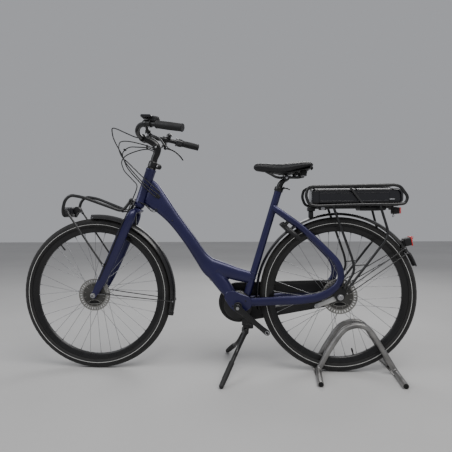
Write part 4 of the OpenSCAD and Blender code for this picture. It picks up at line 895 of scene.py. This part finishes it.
def make_brake(name, c, body, node, y0, r, arm_deg, mid_r):
    """roller brake: finned cooling disc with rim holes, housing and reaction arm"""
    P = Piece(name, body); n = 24
    # perforated rim, ribbed dark inner face
    def annulus(radii, seg, ya, yb, hole, m, rip=0.0):
        K = len(radii); vs = []
        for side, yy in ((0, ya), (1, yb)):
            for i in range(seg):
                a = 2 * pi * i / seg
                for q in radii:
                    vs.append(c + V(q * math.cos(a), yy + (rip * math.sin((q - radii[0]) * 0.9) if rip else 0.0), q * math.sin(a)))
        ix = lambda side, i, k: side * seg * K + (i % seg) * K + k
        fs = []
        for i in range(seg):
            for j in range(K - 1):
                if hole(i % seg, j):
                    continue
                fs.append((ix(0, i, j), ix(0, i, j + 1), ix(0, i + 1, j + 1), ix(0, i + 1, j)))
                fs.append((ix(1, i, j), ix(1, i + 1, j), ix(1, i + 1, j + 1), ix(1, i, j + 1)))
                if j == 0 or hole(i, j - 1):
                    fs.append((ix(0, i, j), ix(0, i + 1, j), ix(1, i + 1, j), ix(1, i, j)))
                if j == K - 2 or hole(i, j + 1):
                    fs.append((ix(0, i, j + 1), ix(1, i, j + 1), ix(1, i + 1, j + 1), ix(0, i + 1, j + 1)))
                if hole((i + 1) % seg, j):
                    fs.append((ix(0, i + 1, j), ix(0, i + 1, j + 1), ix(1, i + 1, j + 1), ix(1, i + 1, j)))
                if hole((i - 1) % seg, j):
                    fs.append((ix(0, i, j), ix(1, i, j), ix(1, i, j + 1), ix(0, i, j + 1)))
        P.add(vs, fs, m)
    seg = 288
    annulus([r - 21, r - 15, r - 13, r - 6, r - 4, r - 2, r], seg, y0 - 1.2, y0 + 1.2, lambda i, j: 1 <= j <= 2 and i % 8 in (0, 1, 7) or j == 3 and i % 8 == 0, disc_m)
    annulus([18 + 1.5 * k for k in range(int((r - 21 - 18) / 1.5) + 1)] + [r - 20.8], 96, y0 - 1.7, y0 + 1.0, lambda i, j: False, disc_d, 0.5)
    for k in range(12):
        a = 2 * pi * (k + 0.5) / 12; e = V(math.cos(a), 0, math.sin(a)); t_ = V(-math.sin(a), 0, math.cos(a))
        P.box(c + e * (r - 28) + V(0, y0 - 1.9, 0), (12, 1.6, 2.0), disc_m, 0.6, [[e[0], 0, t_[0]], [0, 1, 0], [e[2], 0, t_[2]]])
    # oval window with a bright rim below the axle; a dark sheet fills the window as painted shade for the hollow behind
    # it
    ow = [c + V(27 * math.cos(2 * pi * j / 40), y0 - 2.3, -33 + 9.5 * math.sin(2 * pi * j / 40) - 3 * abs(math.cos(2 * pi * j / 40)) ** 2) for j in range(40)]
    P.sweep(ow, 1.5, disc_m, n=8, closed=True, up=(0, 1, 0))
    P.rings([[V(q[0], y0 - 2.1, q[2]) for q in ow], [V(q[0], y0 - 2.7, q[2]) for q in ow]], painted_shade_fill)
    P.turn(c + V(0, y0 + 0.8, 0), (0, 1, 0), [(0, 30), (0, 40), (1, 42), (-33.5 - y0 - 2, 42), (-33.5 - y0 - 1, 40), (-33.5 - y0 - 1, 8.5)], alloy, 72, caps=False)
    P.turn(c + V(0, y0 - 0.5, 0), (0, -1, 0), [(0, mid_r - 11), (1.8, mid_r - 11), (3.0, mid_r - 13), (4, 19), (8, 17), (8.5, 15.5), (8.5, 5.3)], disc_d, 48, caps=False)
    a = math.radians(arm_deg); u = V(math.cos(a), 0, math.sin(a)); w = V(-math.sin(a), 0, math.cos(a)); rings = []
    for x, h, t in ((12.4, 10, 4), (14, 13, 5), (30, 12, 5), (70, 10, 5), (98, 9.5, 5), (112, 9.5, 5), (118, 6, 4.4), (121, 2.5, 3.5)):
        rings.append([c + u * x + w * h * math.copysign(abs(math.cos(2 * pi * j / 20)) ** 0.6, math.cos(2 * pi * j / 20)) + V(0, y0 - 3.5 + t / 2 * math.copysign(abs(math.sin(2 * pi * j / 20)) ** 0.6, math.sin(2 * pi * j / 20)), 0) for j in range(20)])
    P.rings(rings, alloy)
    P.hexnut(c + u * 110 + V(0, y0 - 6, 0), (0, -1, 0), 6, 5, steel)
    # cable lever with its return spring cover
    a2 = math.radians(arm_deg - 62); u2 = V(math.cos(a2), 0, math.sin(a2))
    P.sweep(catmull([c + u2 * 20 + V(0, y0 - 6, 0), c + u2 * 34 + V(0, y0 - 7, 0), c + u2 * 50 + V(0, y0 - 6.4, 0)], 5), [4.2] * 5 + [3.6] * 5 + [3.0], steel, [2.0] * 11, n=14, round_end=True)
    P.turn(c + u2 * 50 + V(0, y0 - 2.5, 0), (0, -1, 0), [(0, 3.6), (5, 3.6), (6, 2.6)], steel, 18)
    return P.done([node], angle=35)
make_brake("rear_roller_brake", RWc, "frame", "rear_brake", -51, 79.4, 203, 34)
make_brake("front_roller_brake", FWc, "steering", "front_brake", -43, 74.4, 66, 32)

P = Piece("front_axle_set", "steering")
P.turn(FWc - V(0, 74, 0), (0, 1, 0), [(0, 3.6), (0.8, 5), (147.2, 5), (148, 3.6)], steel, 30)
P.turn(FWc - V(0, 30.5, 0), (0, 1, 0), [(0, 8), (70.5, 8)], steel, 30)
for s in (-1, 1):
    P.hexnut(FWc + V(0, 65.4 * s, 0), (0, s, 0), 9.6, 8, steel)
    P.turn(FWc + V(0, 73 * s, 0), (0, s, 0), [(0, 4.9), (1, 4.4)], steel, 24)
P.done(["front_axle"])

# ------------------------------------------------------------------ fork
blade = [(-368, -20, 745), (-375, -40, 738), (-389, -54, 708), (-427, -59, 626), (-470, -60.5, 530), (-514, -61, 436), (-538, -61, 390), (-552, -61, 364)]
bl_w = [(10, 12), (12, 16), (12, 21.5), (10.5, 23.5), (9, 23), (7.5, 20.5), (6, 17.5), (4.5, 14)]
st = catmull([list(p) + list(w) for p, w in zip(blade, bl_w)], 8)
P = Piece("fork_blades", "steering")
P.sweep([s[:3] for s in st], [s[3] for s in st], navy, [s[4] for s in st], n=36, mirror=True)
rings = []
for y in [-31, -29.5, -26, -20, -10, 0, 10, 20, 26, 29.5, 31]:
    a = 1.0 if abs(y) < 21 else (0.97 if abs(y) < 27 else (0.9 if abs(y) < 30 else 0.78))
    rings.append([V(-367 + 24 * a * math.cos(2 * pi * j / 36), y, 746 - 11.5 * a * math.sin(2 * pi * j / 36)) for j in range(36)])
P.rings(rings, navy)
P.turn(hp(742), hd, [(0, 12.7), (4, 14), (12, 20.5), (16, 20.5), (19, 14.5), (20, 12.7), (236, 12.7)], navy, 44)
fd = catmull([(-572, 350), (-568, 343), (-560, 340), (-551, 343), (-546, 352), (-540, 366), (-538, 376), (-545, 383), (-554, 381), (-563, 374), (-571, 363)], 4, True)
plate(P, fd, -65, -57.5, navy, mirror=True, bev=1.2)
P.done(["fork"], angle=40)

# ------------------------------------------------------------------ stem and handlebar
P = Piece("stem_body", "steering")
spn = catmull([hp(958), hp(972), V(-281, 0, 992), V(-272, 0, 1012), V(-268, 0, 1036), V(-277, 0, 1056), V(-298, 0, 1071), V(-327, 0, 1083)], 8)
wid = np.interp(np.linspace(0, 1, len(spn)), [0, .1, .22, .42, .6, .8, 1], [17.5, 17.5, 15.5, 16.5, 19, 17.5, 15.5])
P.sweep(spn, list(wid), blk_alloy, n=40)
P.turn(hp(947.6), hd, [(0, 13), (0, 20.2), (1.4, 21.6), (24, 21.6), (27, 20), (30, 17)], blk_alloy, 48)
cc = hp(960)
P.sweep(catmull([cc, cc + V(16, 0, -5), cc + V(33, 0, -11)], 6), 9, blk_alloy, 12.5, n=32, round_end=True)
for s in (-1, 1):
    P.bolt(cc + V(24, 12.2 * s, -8), (0, s, 0), 5, 2.4, steel)
# thin dark sheet in the clamp slot: painted shade for the gap
P.box(cc + V(30, 0, -10), (16, 1.4, 22), painted_shade_fill, 0.5)
# bar clamp with face plate and four bolts
P.turn(V(-333, -22, 1084), (0, 1, 0), [(0, 11.4), (0, 16), (1.4, 17.4), (15, 17.4), (18, 16.6), (26, 16.6), (29, 17.4), (42.6, 17.4), (44, 16), (44, 11.4)], blk_alloy, 48)
P.box(V(-345, 0, 1090), (10, 40, 25), blk_alloy, 4, [[0.9, 0, -0.43], [0, 1, 0], [0.43, 0, 0.9]])
for s in (-1, 1):
    for dz in (9, -9):
        P.bolt(V(-349.5, 13 * s, 1092) + V(0.43 * -dz * -0.0 + 0.0, 0, dz), (-0.9, 0, 0.43), 3.6, 2.6, steel)
P.turn(V(-271, 0, 1040), (0, 1, 0), [(-20.4, 13), (-19.2, 15.5), (19.2, 15.5), (20.4, 13)], blk_alloy, 40)
P.bolt(V(-271, -20.2, 1040), (0, -1, 0), 5, 2.2, steel); P.bolt(V(-271, 20.2, 1040), (0, 1, 0), 5, 2.2, steel)
P.done(["stem"], angle=38)

hb = [(-333, 0, 1084), (-338, 60, 1086), (-334, 104, 1098), (-312, 146, 1113), (-272, 182, 1112), (-242, 195, 1107), (-110, 239.6, 1079)]
hbr = bent(hb, 30, 10)
P = Piece("bar_tube", "steering")
full = [m_(q) for q in hbr[::-1]] + [q for q in hbr[1:]]
P.sweep(full, 11, blk_alloy, n=32, up=(0, 0, 1))
P.done(["handlebar"], angle=50)

def grip_shape(P, f, t0, ergo):
    L = float(np.linalg.norm(gB - gA)); a = f(gA + t0 * gd); b = f(gB); d = unit(b - a); LL = np.linalg.norm(b - a)
    u = unit(np.cross(d, [0, 0, 1])); w = np.cross(u, d)
    rings = []; k = 60; zones = []
    for i in range(k + 1):
        t = LL * i / k
        r = 16.4
        if t < 5: r = 17.3
        elif t < 7: r = 15.6
        elif t > LL - 5: r = 17.2
        elif t > LL - 7: r = 15.9
        else:
            r = 15.7 + 0.8 * math.sin(pi * (t - 7) / (LL - 14)) + (0.45 if i % 2 else 0.0)
        if i in (0, k): r -= 1.2
        palm = 1.0 + (0.10 if ergo else 0.03) * math.sin(pi * min(1, t / LL)) 
        rings.append([a + d * t + r * (math.cos(2 * pi * j / 40) * u * palm + math.sin(2 * pi * j / 40) * w) for j in range(40)])
    P.rings(rings, grip_m)
    # end cap with a ring and boss
    P.turn(b - d * 0.4, d, [(0, 14.8), (0.8, 14.8), (1.1, 14), (0.5, 13.2), (0.5, 7), (1.1, 6), (1.1, 2), (0.3, 1.6)], grip_grey, 36)
P = Piece("hand_grips", "steering")
grip_shape(P, lambda q: q, 42, True)
grip_shape(P, m_, 4, True)
P.done(["grips"], angle=30)

P = Piece("twist_shifter", "shifter")
a = gA + 8 * gd
prof = [(0, 12), (0, 20), (1, 21), (7, 21), (8.5, 19.6), (10, 19.2)]
P.turn(a, gd, prof + [(33, 18.4), (33, 12)], gloss_plastic, 56, caps=False)
u = unit(np.cross(gd, [0, 0, 1])); w = np.cross(u, gd)
for k in range(22):
    e = 2 * pi * k / 22; q = math.cos(e) * u + math.sin(e) * w
    P.sweep([a + gd * 12 + q * 18.9, a + gd * 31 + q * 18.3], 1.3, grip_m, n=8)
P.done(["gear_shifter"], angle=35)

# ------------------------------------------------------------------ brake levers and their mounts
P = Piece("lever_mounts", "steering")
q0 = V(-270, 181, 1105); q1 = lev + V(-5, 3, 16)
for f in (lambda q: np.array(q, float), m_):
    c0, c1 = f(V(-282, 176, 1113)), f(V(-258, 187, 1111)); d = unit(c1 - c0); L = np.linalg.norm(c1 - c0)
    P.turn(c0, d, [(0, 11.3), (0, 14.6), (1.2, 15.5), (L - 1.2, 15.5), (L, 14.6), (L, 11.3)], blk_alloy, 40)
    pth = catmull([f(q0), f(q0 * 0.5 + q1 * 0.5 + V(-2, 0, 0)), f(q1)], 6)
    P.sweep(pth, 8, blk_alloy, 6.4, n=24)
    n_ = f(ln) 
    P.tube(f(q1) - n_ * 8.4, f(q1) + n_ * 8.4, 6.2, blk_alloy)
    for s in (-1, 1):
        b0 = f(lev) + n_ * 5.4 * s
        P.turn(b0, n_ * s, [(0, 4), (0, 8.4), (0.7, 9), (3.0, 9), (3.7, 8.2), (3.7, 3)], blk_alloy, 36)
        P.bolt(b0 + n_ * 3.2 * s, n_ * s, 3.8, 1.8, steel)
        # web from boss up to the cross tube
        P.sweep([b0 + n_ * 1.8 * s, f(q1) + n_ * 7 * s], 4.6, blk_alloy, 1.9, n=16, up=tuple(np.cross(n_, unit(f(q1) - f(lev)))))
    P.tube(f(lev) - n_ * 8.9, f(lev) + n_ * 8.9, 2.5, steel, 20, ch=0.3)
    # cable adjuster with lock ring
    e0 = f(V(-272, 172, 1086)); ed = unit(f(V(-304, 118, 1043)) - f(V(-268, 176, 1084)))
    P.turn(e0 - ed * 6, ed, [(0, 4), (1, 5.4), (6, 5.4), (7, 4.4), (9, 5.6), (14, 5.6), (15, 3.6), (24, 3.4), (25, 2.8)], blk_alloy, 24)
    P.bolt(f(V(-262, 190, 1097)), f(V(0.3, 0.5, -0.8)), 3.2, 2.2, steel)
bc = V(-247, 180, 1119.5)
P.turn(bc, (0, 0, 1), [(-6, 4), (-5, 6), (0, 8), (7.4, 8), (8, 7.2), (8.2, 6), (13.6, 5.8), (14.4, 5)], blk_plastic, 32)
P.sweep(catmull([V(-262, 185, 1112), V(-256, 182, 1115), V(-247, 180, 1119)], 5), 6, blk_plastic, 4.2, n=20, round_end=True)
P.done(["brake_perches"], angle=38)
for f, body, node in ((m_, "lever_left", "brake_lever_left"), (lambda q: np.array(q, float), "lever_right", "brake_lever_right")):
    P = Piece("squeeze_lever_" + node.split("_")[-1], body)
    n_ = f(ln); L0_ = f(lev)
    P.turn(L0_ - n_ * 5, n_, [(0, 2.7), (0, 6.2), (0.8, 7), (9.2, 7), (10, 6.2), (10, 2.7), (0.1, 2.7)], blk_alloy, 36)
    pts = catmull([lev + 4.6 * unit(V(30, 22, -10)), lev + V(15, 11, -4), lev + V(30, 22, -9.5), lev + V(45, 35.5, -18.5), lev + V(58, 48, -30), lev + V(68, 58, -42), lev + V(74.5, 64, -52.5)], 6)
    k = len(pts); aa = np.interp(np.linspace(0, 1, k), [0, .12, .3, .85, 1], [5.2, 5.0, 5.0, 5.6, 5.0]); bb = np.interp(np.linspace(0, 1, k), [0, .12, .3, .85, 1], [6, 5.4, 3.6, 3.2, 3.0])
    P.sweep([f(q) for q in pts], list(aa), blk_alloy, list(bb), n=26, up=tuple(f(V(0.65, -0.757, 0))), round_end=True)
    P.done([node], angle=45)

# ------------------------------------------------------------------ bell and display
P = Piece("bell_dome", "bell_cap")
B = V(-247, 180, 1128)
prof = [(0.2, 12.6), (0, 14.2), (0.6, 15), (2.4, 15)] + [(2.4 + 12.4 * math.sin(e), 1.2 + 13.8 * math.cos(e)) for e in np.linspace(0.1, pi / 2, 12)]
P.turn(B, (0, 0, 1), prof, bell_m, 48)
P.turn(B + V(0, 0, 14.4), (0, 0, 1), [(0, 2.4), (0.5, 2.2), (0.9, 1.4)], steel, 20)
P.box(B + V(12, -8, 2.6), (7, 4, 3.6), blk_plastic, 1.4)
P.done(["bell"], angle=40)

c2, s2 = math.cos(math.radians(2)), math.sin(math.radians(2))
R2 = [[c2, 0, s2], [0, 1, 0], [-s2, 0, c2]]
P = Piece("display_unit", "steering")
ctr = V(-264, -189, 1136.5)
P.box(ctr, (46, 66, 11.5), gloss_plastic, 4.5, R2)
P.box(ctr + V(0.2, 0, 5.3), (37, 52, 1.6), screen_m, 0.7, R2)
P.turn(V(-254, -189.5, 1110), unit(V(16, -6.5, -2.7)), [(-9, 11.3), (-9, 15.6), (-8, 16.5), (8, 16.5), (9, 15.6), (9, 11.3)], blk_plastic, 40)
P.box((-230, -191, 1125.5), (36, 30, 26), blk_plastic, 8, [[0.97, 0, 0.22], [0, 1, 0], [-0.22, 0, 0.97]])
P.box((-252, -190, 1128), (20, 22, 14), blk_plastic, 5)
for dz in (6, -4):
    P.turn(V(-229, -205.0, 1126 + dz), (0, -1, 0), [(-1, 4.2), (0.8, 4.0), (1.4, 3)], grip_grey, 24)
P.turn(V(-213.5, -191, 1126), (1, 0, 0), [(-1, 5), (0.9, 4.6), (1.4, 3.4)], grip_grey, 24)
P.bolt((-254, -196, 1094), (0, -0.2, -1), 3, 2, steel)
P.done(["display"], angle=38)

# ------------------------------------------------------------------ front carrier and headlight
fc = [V(-420, -58, 742), V(-593, -88, 808), V(-650, -88, 818), V(-676, -88, 796), V(-688, -86, 752), V(-692, -70, 724)]
fr = [V(-387, -50, 792), V(-382, -30, 800)]
fall = fc + mir(fc)[::-1] + mir(fr)[::-1] + fr
P = Piece("carrier_tubes", "steering")
P.sweep(cutloop(fall, 24, 8), 7, blk_tube, n=24, closed=True, up=(0.05, 0.1, 1))
P.sweep([(-672, -84, 746), (-506, -80, 496)], 4.5, blk_tube, n=20, mirror=True)
P.turn((-506, -62, 498), (0, -1, 0), [(0, 6), (0, 7), (24, 7), (24, 4)], blk_alloy, 30, mirror=True)
P.bolt((-506, -86, 498), (0, -1, 0), 5, 2.6, steel, mirror=True)
P.sweep([(-673, -86.5, 748), (-666, -80, 737)], 6, blk_tube, n=20, mirror=True, round_end=True)
P.sweep(catmull([(-420, -58, 742), (-414, 0, 744), (-420, 58, 742)], 8), 5, blk_tube, n=20, up=(0, 0, 1))
P.sweep([(-416, 0, 744), (-384, 0, 744)], 7, blk_tube, 5, n=20)
P.box((-389, 0, 780), (6, 34, 14), blk_alloy, 2)
P.bolt((-392.5, 0, 782), (-1, 0, 0.1), 4, 2.4, steel)
P.done(["front_carrier"], angle=50)
P = Piece("headlight_lamp", "steering")
P.box((-692, 0, 746), (50, 59, 37), gloss_plastic, 9)
P.turn(V(-655, -16, 752), (0, 1, 0), [(0, 10), (0, 13.5), (1.6, 15), (30.4, 15), (32, 13.5), (32, 10)], blk_plastic, 36)
P.box((-664, 0, 727), (8, 16, 22), blk_alloy, 2.5)
P.box((-716, 0, 746), (3.4, 50, 28), reflector_w, 1.6)
P.turn(V(-714, 0, 748), (-1, 0, 0), [(0, 12.5), (3, 12.5), (3.8, 11.4), (3.4, 9), (4.0, 3)], clear_lens, 36)
for k in range(4):
    P.box((-692 + 7 * k - 10, -29.2, 746), (2.2, 1.2, 22), gloss_plastic, 0.5)
    P.box((-692 + 7 * k - 10, 29.2, 746), (2.2, 1.2, 22), gloss_plastic, 0.5)
P.done(["headlight"], angle=38)

# ------------------------------------------------------------------ cables
cab_a = [(-318, -116, 1064), (-345, -106, 1072), (-393, -100, 1094), (-431, -90, 1112), (-452, -84, 1116), (-455, -79, 1100), (-450, -73, 1070), (-432, -64, 1029), (-415, -56, 993), (-396, -49, 942), (-346, -39, 880), (-297, -33, 830), (-268, -25.5, 805)]
cab_b = [(-292, 148, 1056), (-312, 112, 1058), (-338, 72, 1064), (-393, 45, 1076), (-425, 25, 1078), (-446, 12, 1073), (-451, 2, 1058), (-446, -14, 1031), (-424, -40, 994), (-391, -42, 963), (-331, -33.5, 902), (-283, -30, 858), (-251, -25.5, 828)]
cab_c = [(-262, 178, 1090), (-300, 120, 1050), (-326, 62, 1051), (-374, 30, 1050), (-402, 12, 1047), (-424, 0, 1031), (-428, -20, 1006), (-408, -32, 966), (-344, -32, 890), (-300, -30, 850), (-262, -25.5, 820)]
cab_d = [(-268, 176, 1084), (-304, 118, 1043), (-330, 62, 1044), (-372, 40, 1034), (-424, 24, 1010), (-442, 10, 980), (-434, 2, 950), (-418, -10, 926), (-380, -30, 890), (-355, -42, 858), (-372, -54, 800), (-394, -70, 735), (-420, -73, 680), (-458, -74, 590), (-500, -74, 494), (-530, -70, 430), (-540, -50, 408)]
def cable(name, pts, crosses):
    path = catmull(pts, 5)
    P = Piece(name, None)
    P.sweep(path, 2.6, cable_m, n=14)
    # directions at both ends of the cable path
    d0, d1 = unit(path[1] - path[0]), unit(path[-2] - path[-1])
    ob = P.done(angle=60)
    if crosses:
        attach(ob, "steering") if False else None
        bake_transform(ob)
    else:
        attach(ob, "steering")
    return ob
C = [cable("brake_hose_left", cab_a, True), cable("shift_cable", cab_b, True), cable("rear_brake_cable", cab_c, True), cable("front_brake_cable", cab_d, False)]
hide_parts("steering_cables"); 
for o in C[1:]:
    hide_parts("steering_cables")
P = Piece("cable_clips", "steering")
P.box((-334, 66, 1056), (9, 8, 20), blk_plastic, 2.5)
P.box((-424, 4, 1034), (8, 26, 8), blk_plastic, 2.5, [[0.8, 0, 0.6], [0, 1, 0], [-0.6, 0, 0.8]])
P.box((-440, -73.5, 634), (8, 9, 8), blk_plastic, 2.2)
P.box((-488, -73, 521), (8, 9, 8), blk_plastic, 2.2)
P.done()

# ------------------------------------------------------------------ floor stand
hoop = [(457, -188, 12.5), (468, -62, 12.5), (472, -38, 22), (513, -38, 98), (560, -38, 172), (592, -38, 208), (637, -38, 223), (681, -38, 216), (708, -38, 190), (731, -38, 152), (778, -38, 74), (808, -38, 22), (812, -62, 12.5), (802, -190, 12.5)]
P = Piece("stand_tubes", "stand")
hpath = bent(hoop, 20, 8)
P.sweep(hpath, 12.5, worn, n=32, mirror=True)
for q, w in ((hoop[0], hoop[1]), (hoop[13], hoop[12])):
    q, w = np.array(q, float), np.array(w, float); d = unit(q - w)
    P.turn(q - d * 0.2, d, [(0, 12.3), (0.5, 12.3), (0.5, 10.8), (-0.1, 10.6)], worn, 40, mirror=True, caps=False)
    # dark disc set just inside each open tube end: painted shade for the hollow tube
    P.turn(q + d * 0.15, d, [(0, 10.7), (0.05, 10.4), (0.05, 3)], painted_shade_fill, 36, mirror=True)
P.done(["stand_hoops"], angle=60)
P = Piece("stand_straps", "stand")
for x in (466, 812):
    P.box((x, 0, 2.0), (24, 120, 4), worn, 0.8)
    for s in (-1, 1):
        P.sweep([(x - 10, 52 * s, 4.4), (x - 3, 53 * s, 5.2), (x + 4, 52 * s, 5.0), (x + 10, 53 * s, 4.4)], 2.2, worn, n=8)
P.done(["stand_bars"], angle=35)

# ------------------------------------------------------------------ floor, light, camera
fl = bpy.data.meshes.new("floor"); fl.from_pydata([(-14, -6, 0), (14, -6, 0), (14, 9, 0), (-14, 9, 0)], [], [(0, 1, 2, 3)])
fo = bpy.data.objects.new("floor", fl); col.objects.link(fo)
fm = mat("pale_floor", (0.50, 0.495, 0.49), 0.75, vary=0.05, vscale=0.9, rvar=0.08, bump=(40, 0.05, 0.001)); fl.materials.append(fm)
world = bpy.data.worlds.new("w"); bpy.context.scene.world = world; world.use_nodes = True
wt = world.node_tree; bg = wt.nodes["Background"]; bg.inputs[0].default_value = (0.60, 0.61, 0.64, 1); bg.inputs[1].default_value = 0.62
def area(loc, tgt, size, power, colr=(1, 1, 1), sy=None):
    l = bpy.data.lights.new("area", "AREA"); l.energy = power; l.size = size; l.color = colr
    if sy:
        l.shape = "RECTANGLE"; l.size_y = sy
    o = bpy.data.objects.new("area", l); col.objects.link(o); o.location = loc
    o.rotation_euler = (Vector(tgt) - Vector(loc)).to_track_quat("-Z", "Y").to_euler()
area((1.2, -1.6, 3.6), (0, 0, 0.4), 3.0, 95, (1, 0.99, 0.97), 1.8)
area((-2.6, -1.2, 2.6), (-0.2, 0, 0.6), 2.0, 38, (0.96, 0.98, 1.0), 2.0)
area((0.6, 2.6, 2.4), (0, 0, 0.7), 2.4, 34, (1, 1, 1), 1.4)

def rotm(yaw, pitch, roll):
    cy, sy = math.cos(yaw), math.sin(yaw); cp, sp = math.cos(pitch), math.sin(pitch); cr, sr = math.cos(roll), math.sin(roll)
    Rz = np.array([[cy, -sy, 0], [sy, cy, 0], [0, 0, 1]]); Rx = np.array([[1, 0, 0], [0, cp, -sp], [0, sp, cp]]); Ry = np.array([[cr, 0, sr], [0, 1, 0], [-sr, 0, cr]])
    return Rz @ Rx @ Ry
M = rotm(0.0633920541, -0.0267035191, 0.00684150741)
cam = bpy.data.cameras.new("cam"); co = bpy.data.objects.new("cam", cam); col.objects.link(co)
cam.sensor_width = 36; cam.sensor_fit = "HORIZONTAL"; cam.lens = 36 * 399.724192 / 452; cam.clip_start = 0.05; cam.clip_end = 60
mw = Matrix(((M[0, 0], M[0, 2], -M[0, 1], 0.170158017), (M[1, 0], M[1, 2], -M[1, 1], -1.85896619), (M[2, 0], M[2, 2], -M[2, 1], 0.721337985), (0, 0, 0, 1)))
co.matrix_world = mw
bpy.context.scene.camera = co
bpy.context.scene.view_settings.view_transform = "AgX" if False else bpy.context.scene.view_settings.view_transform
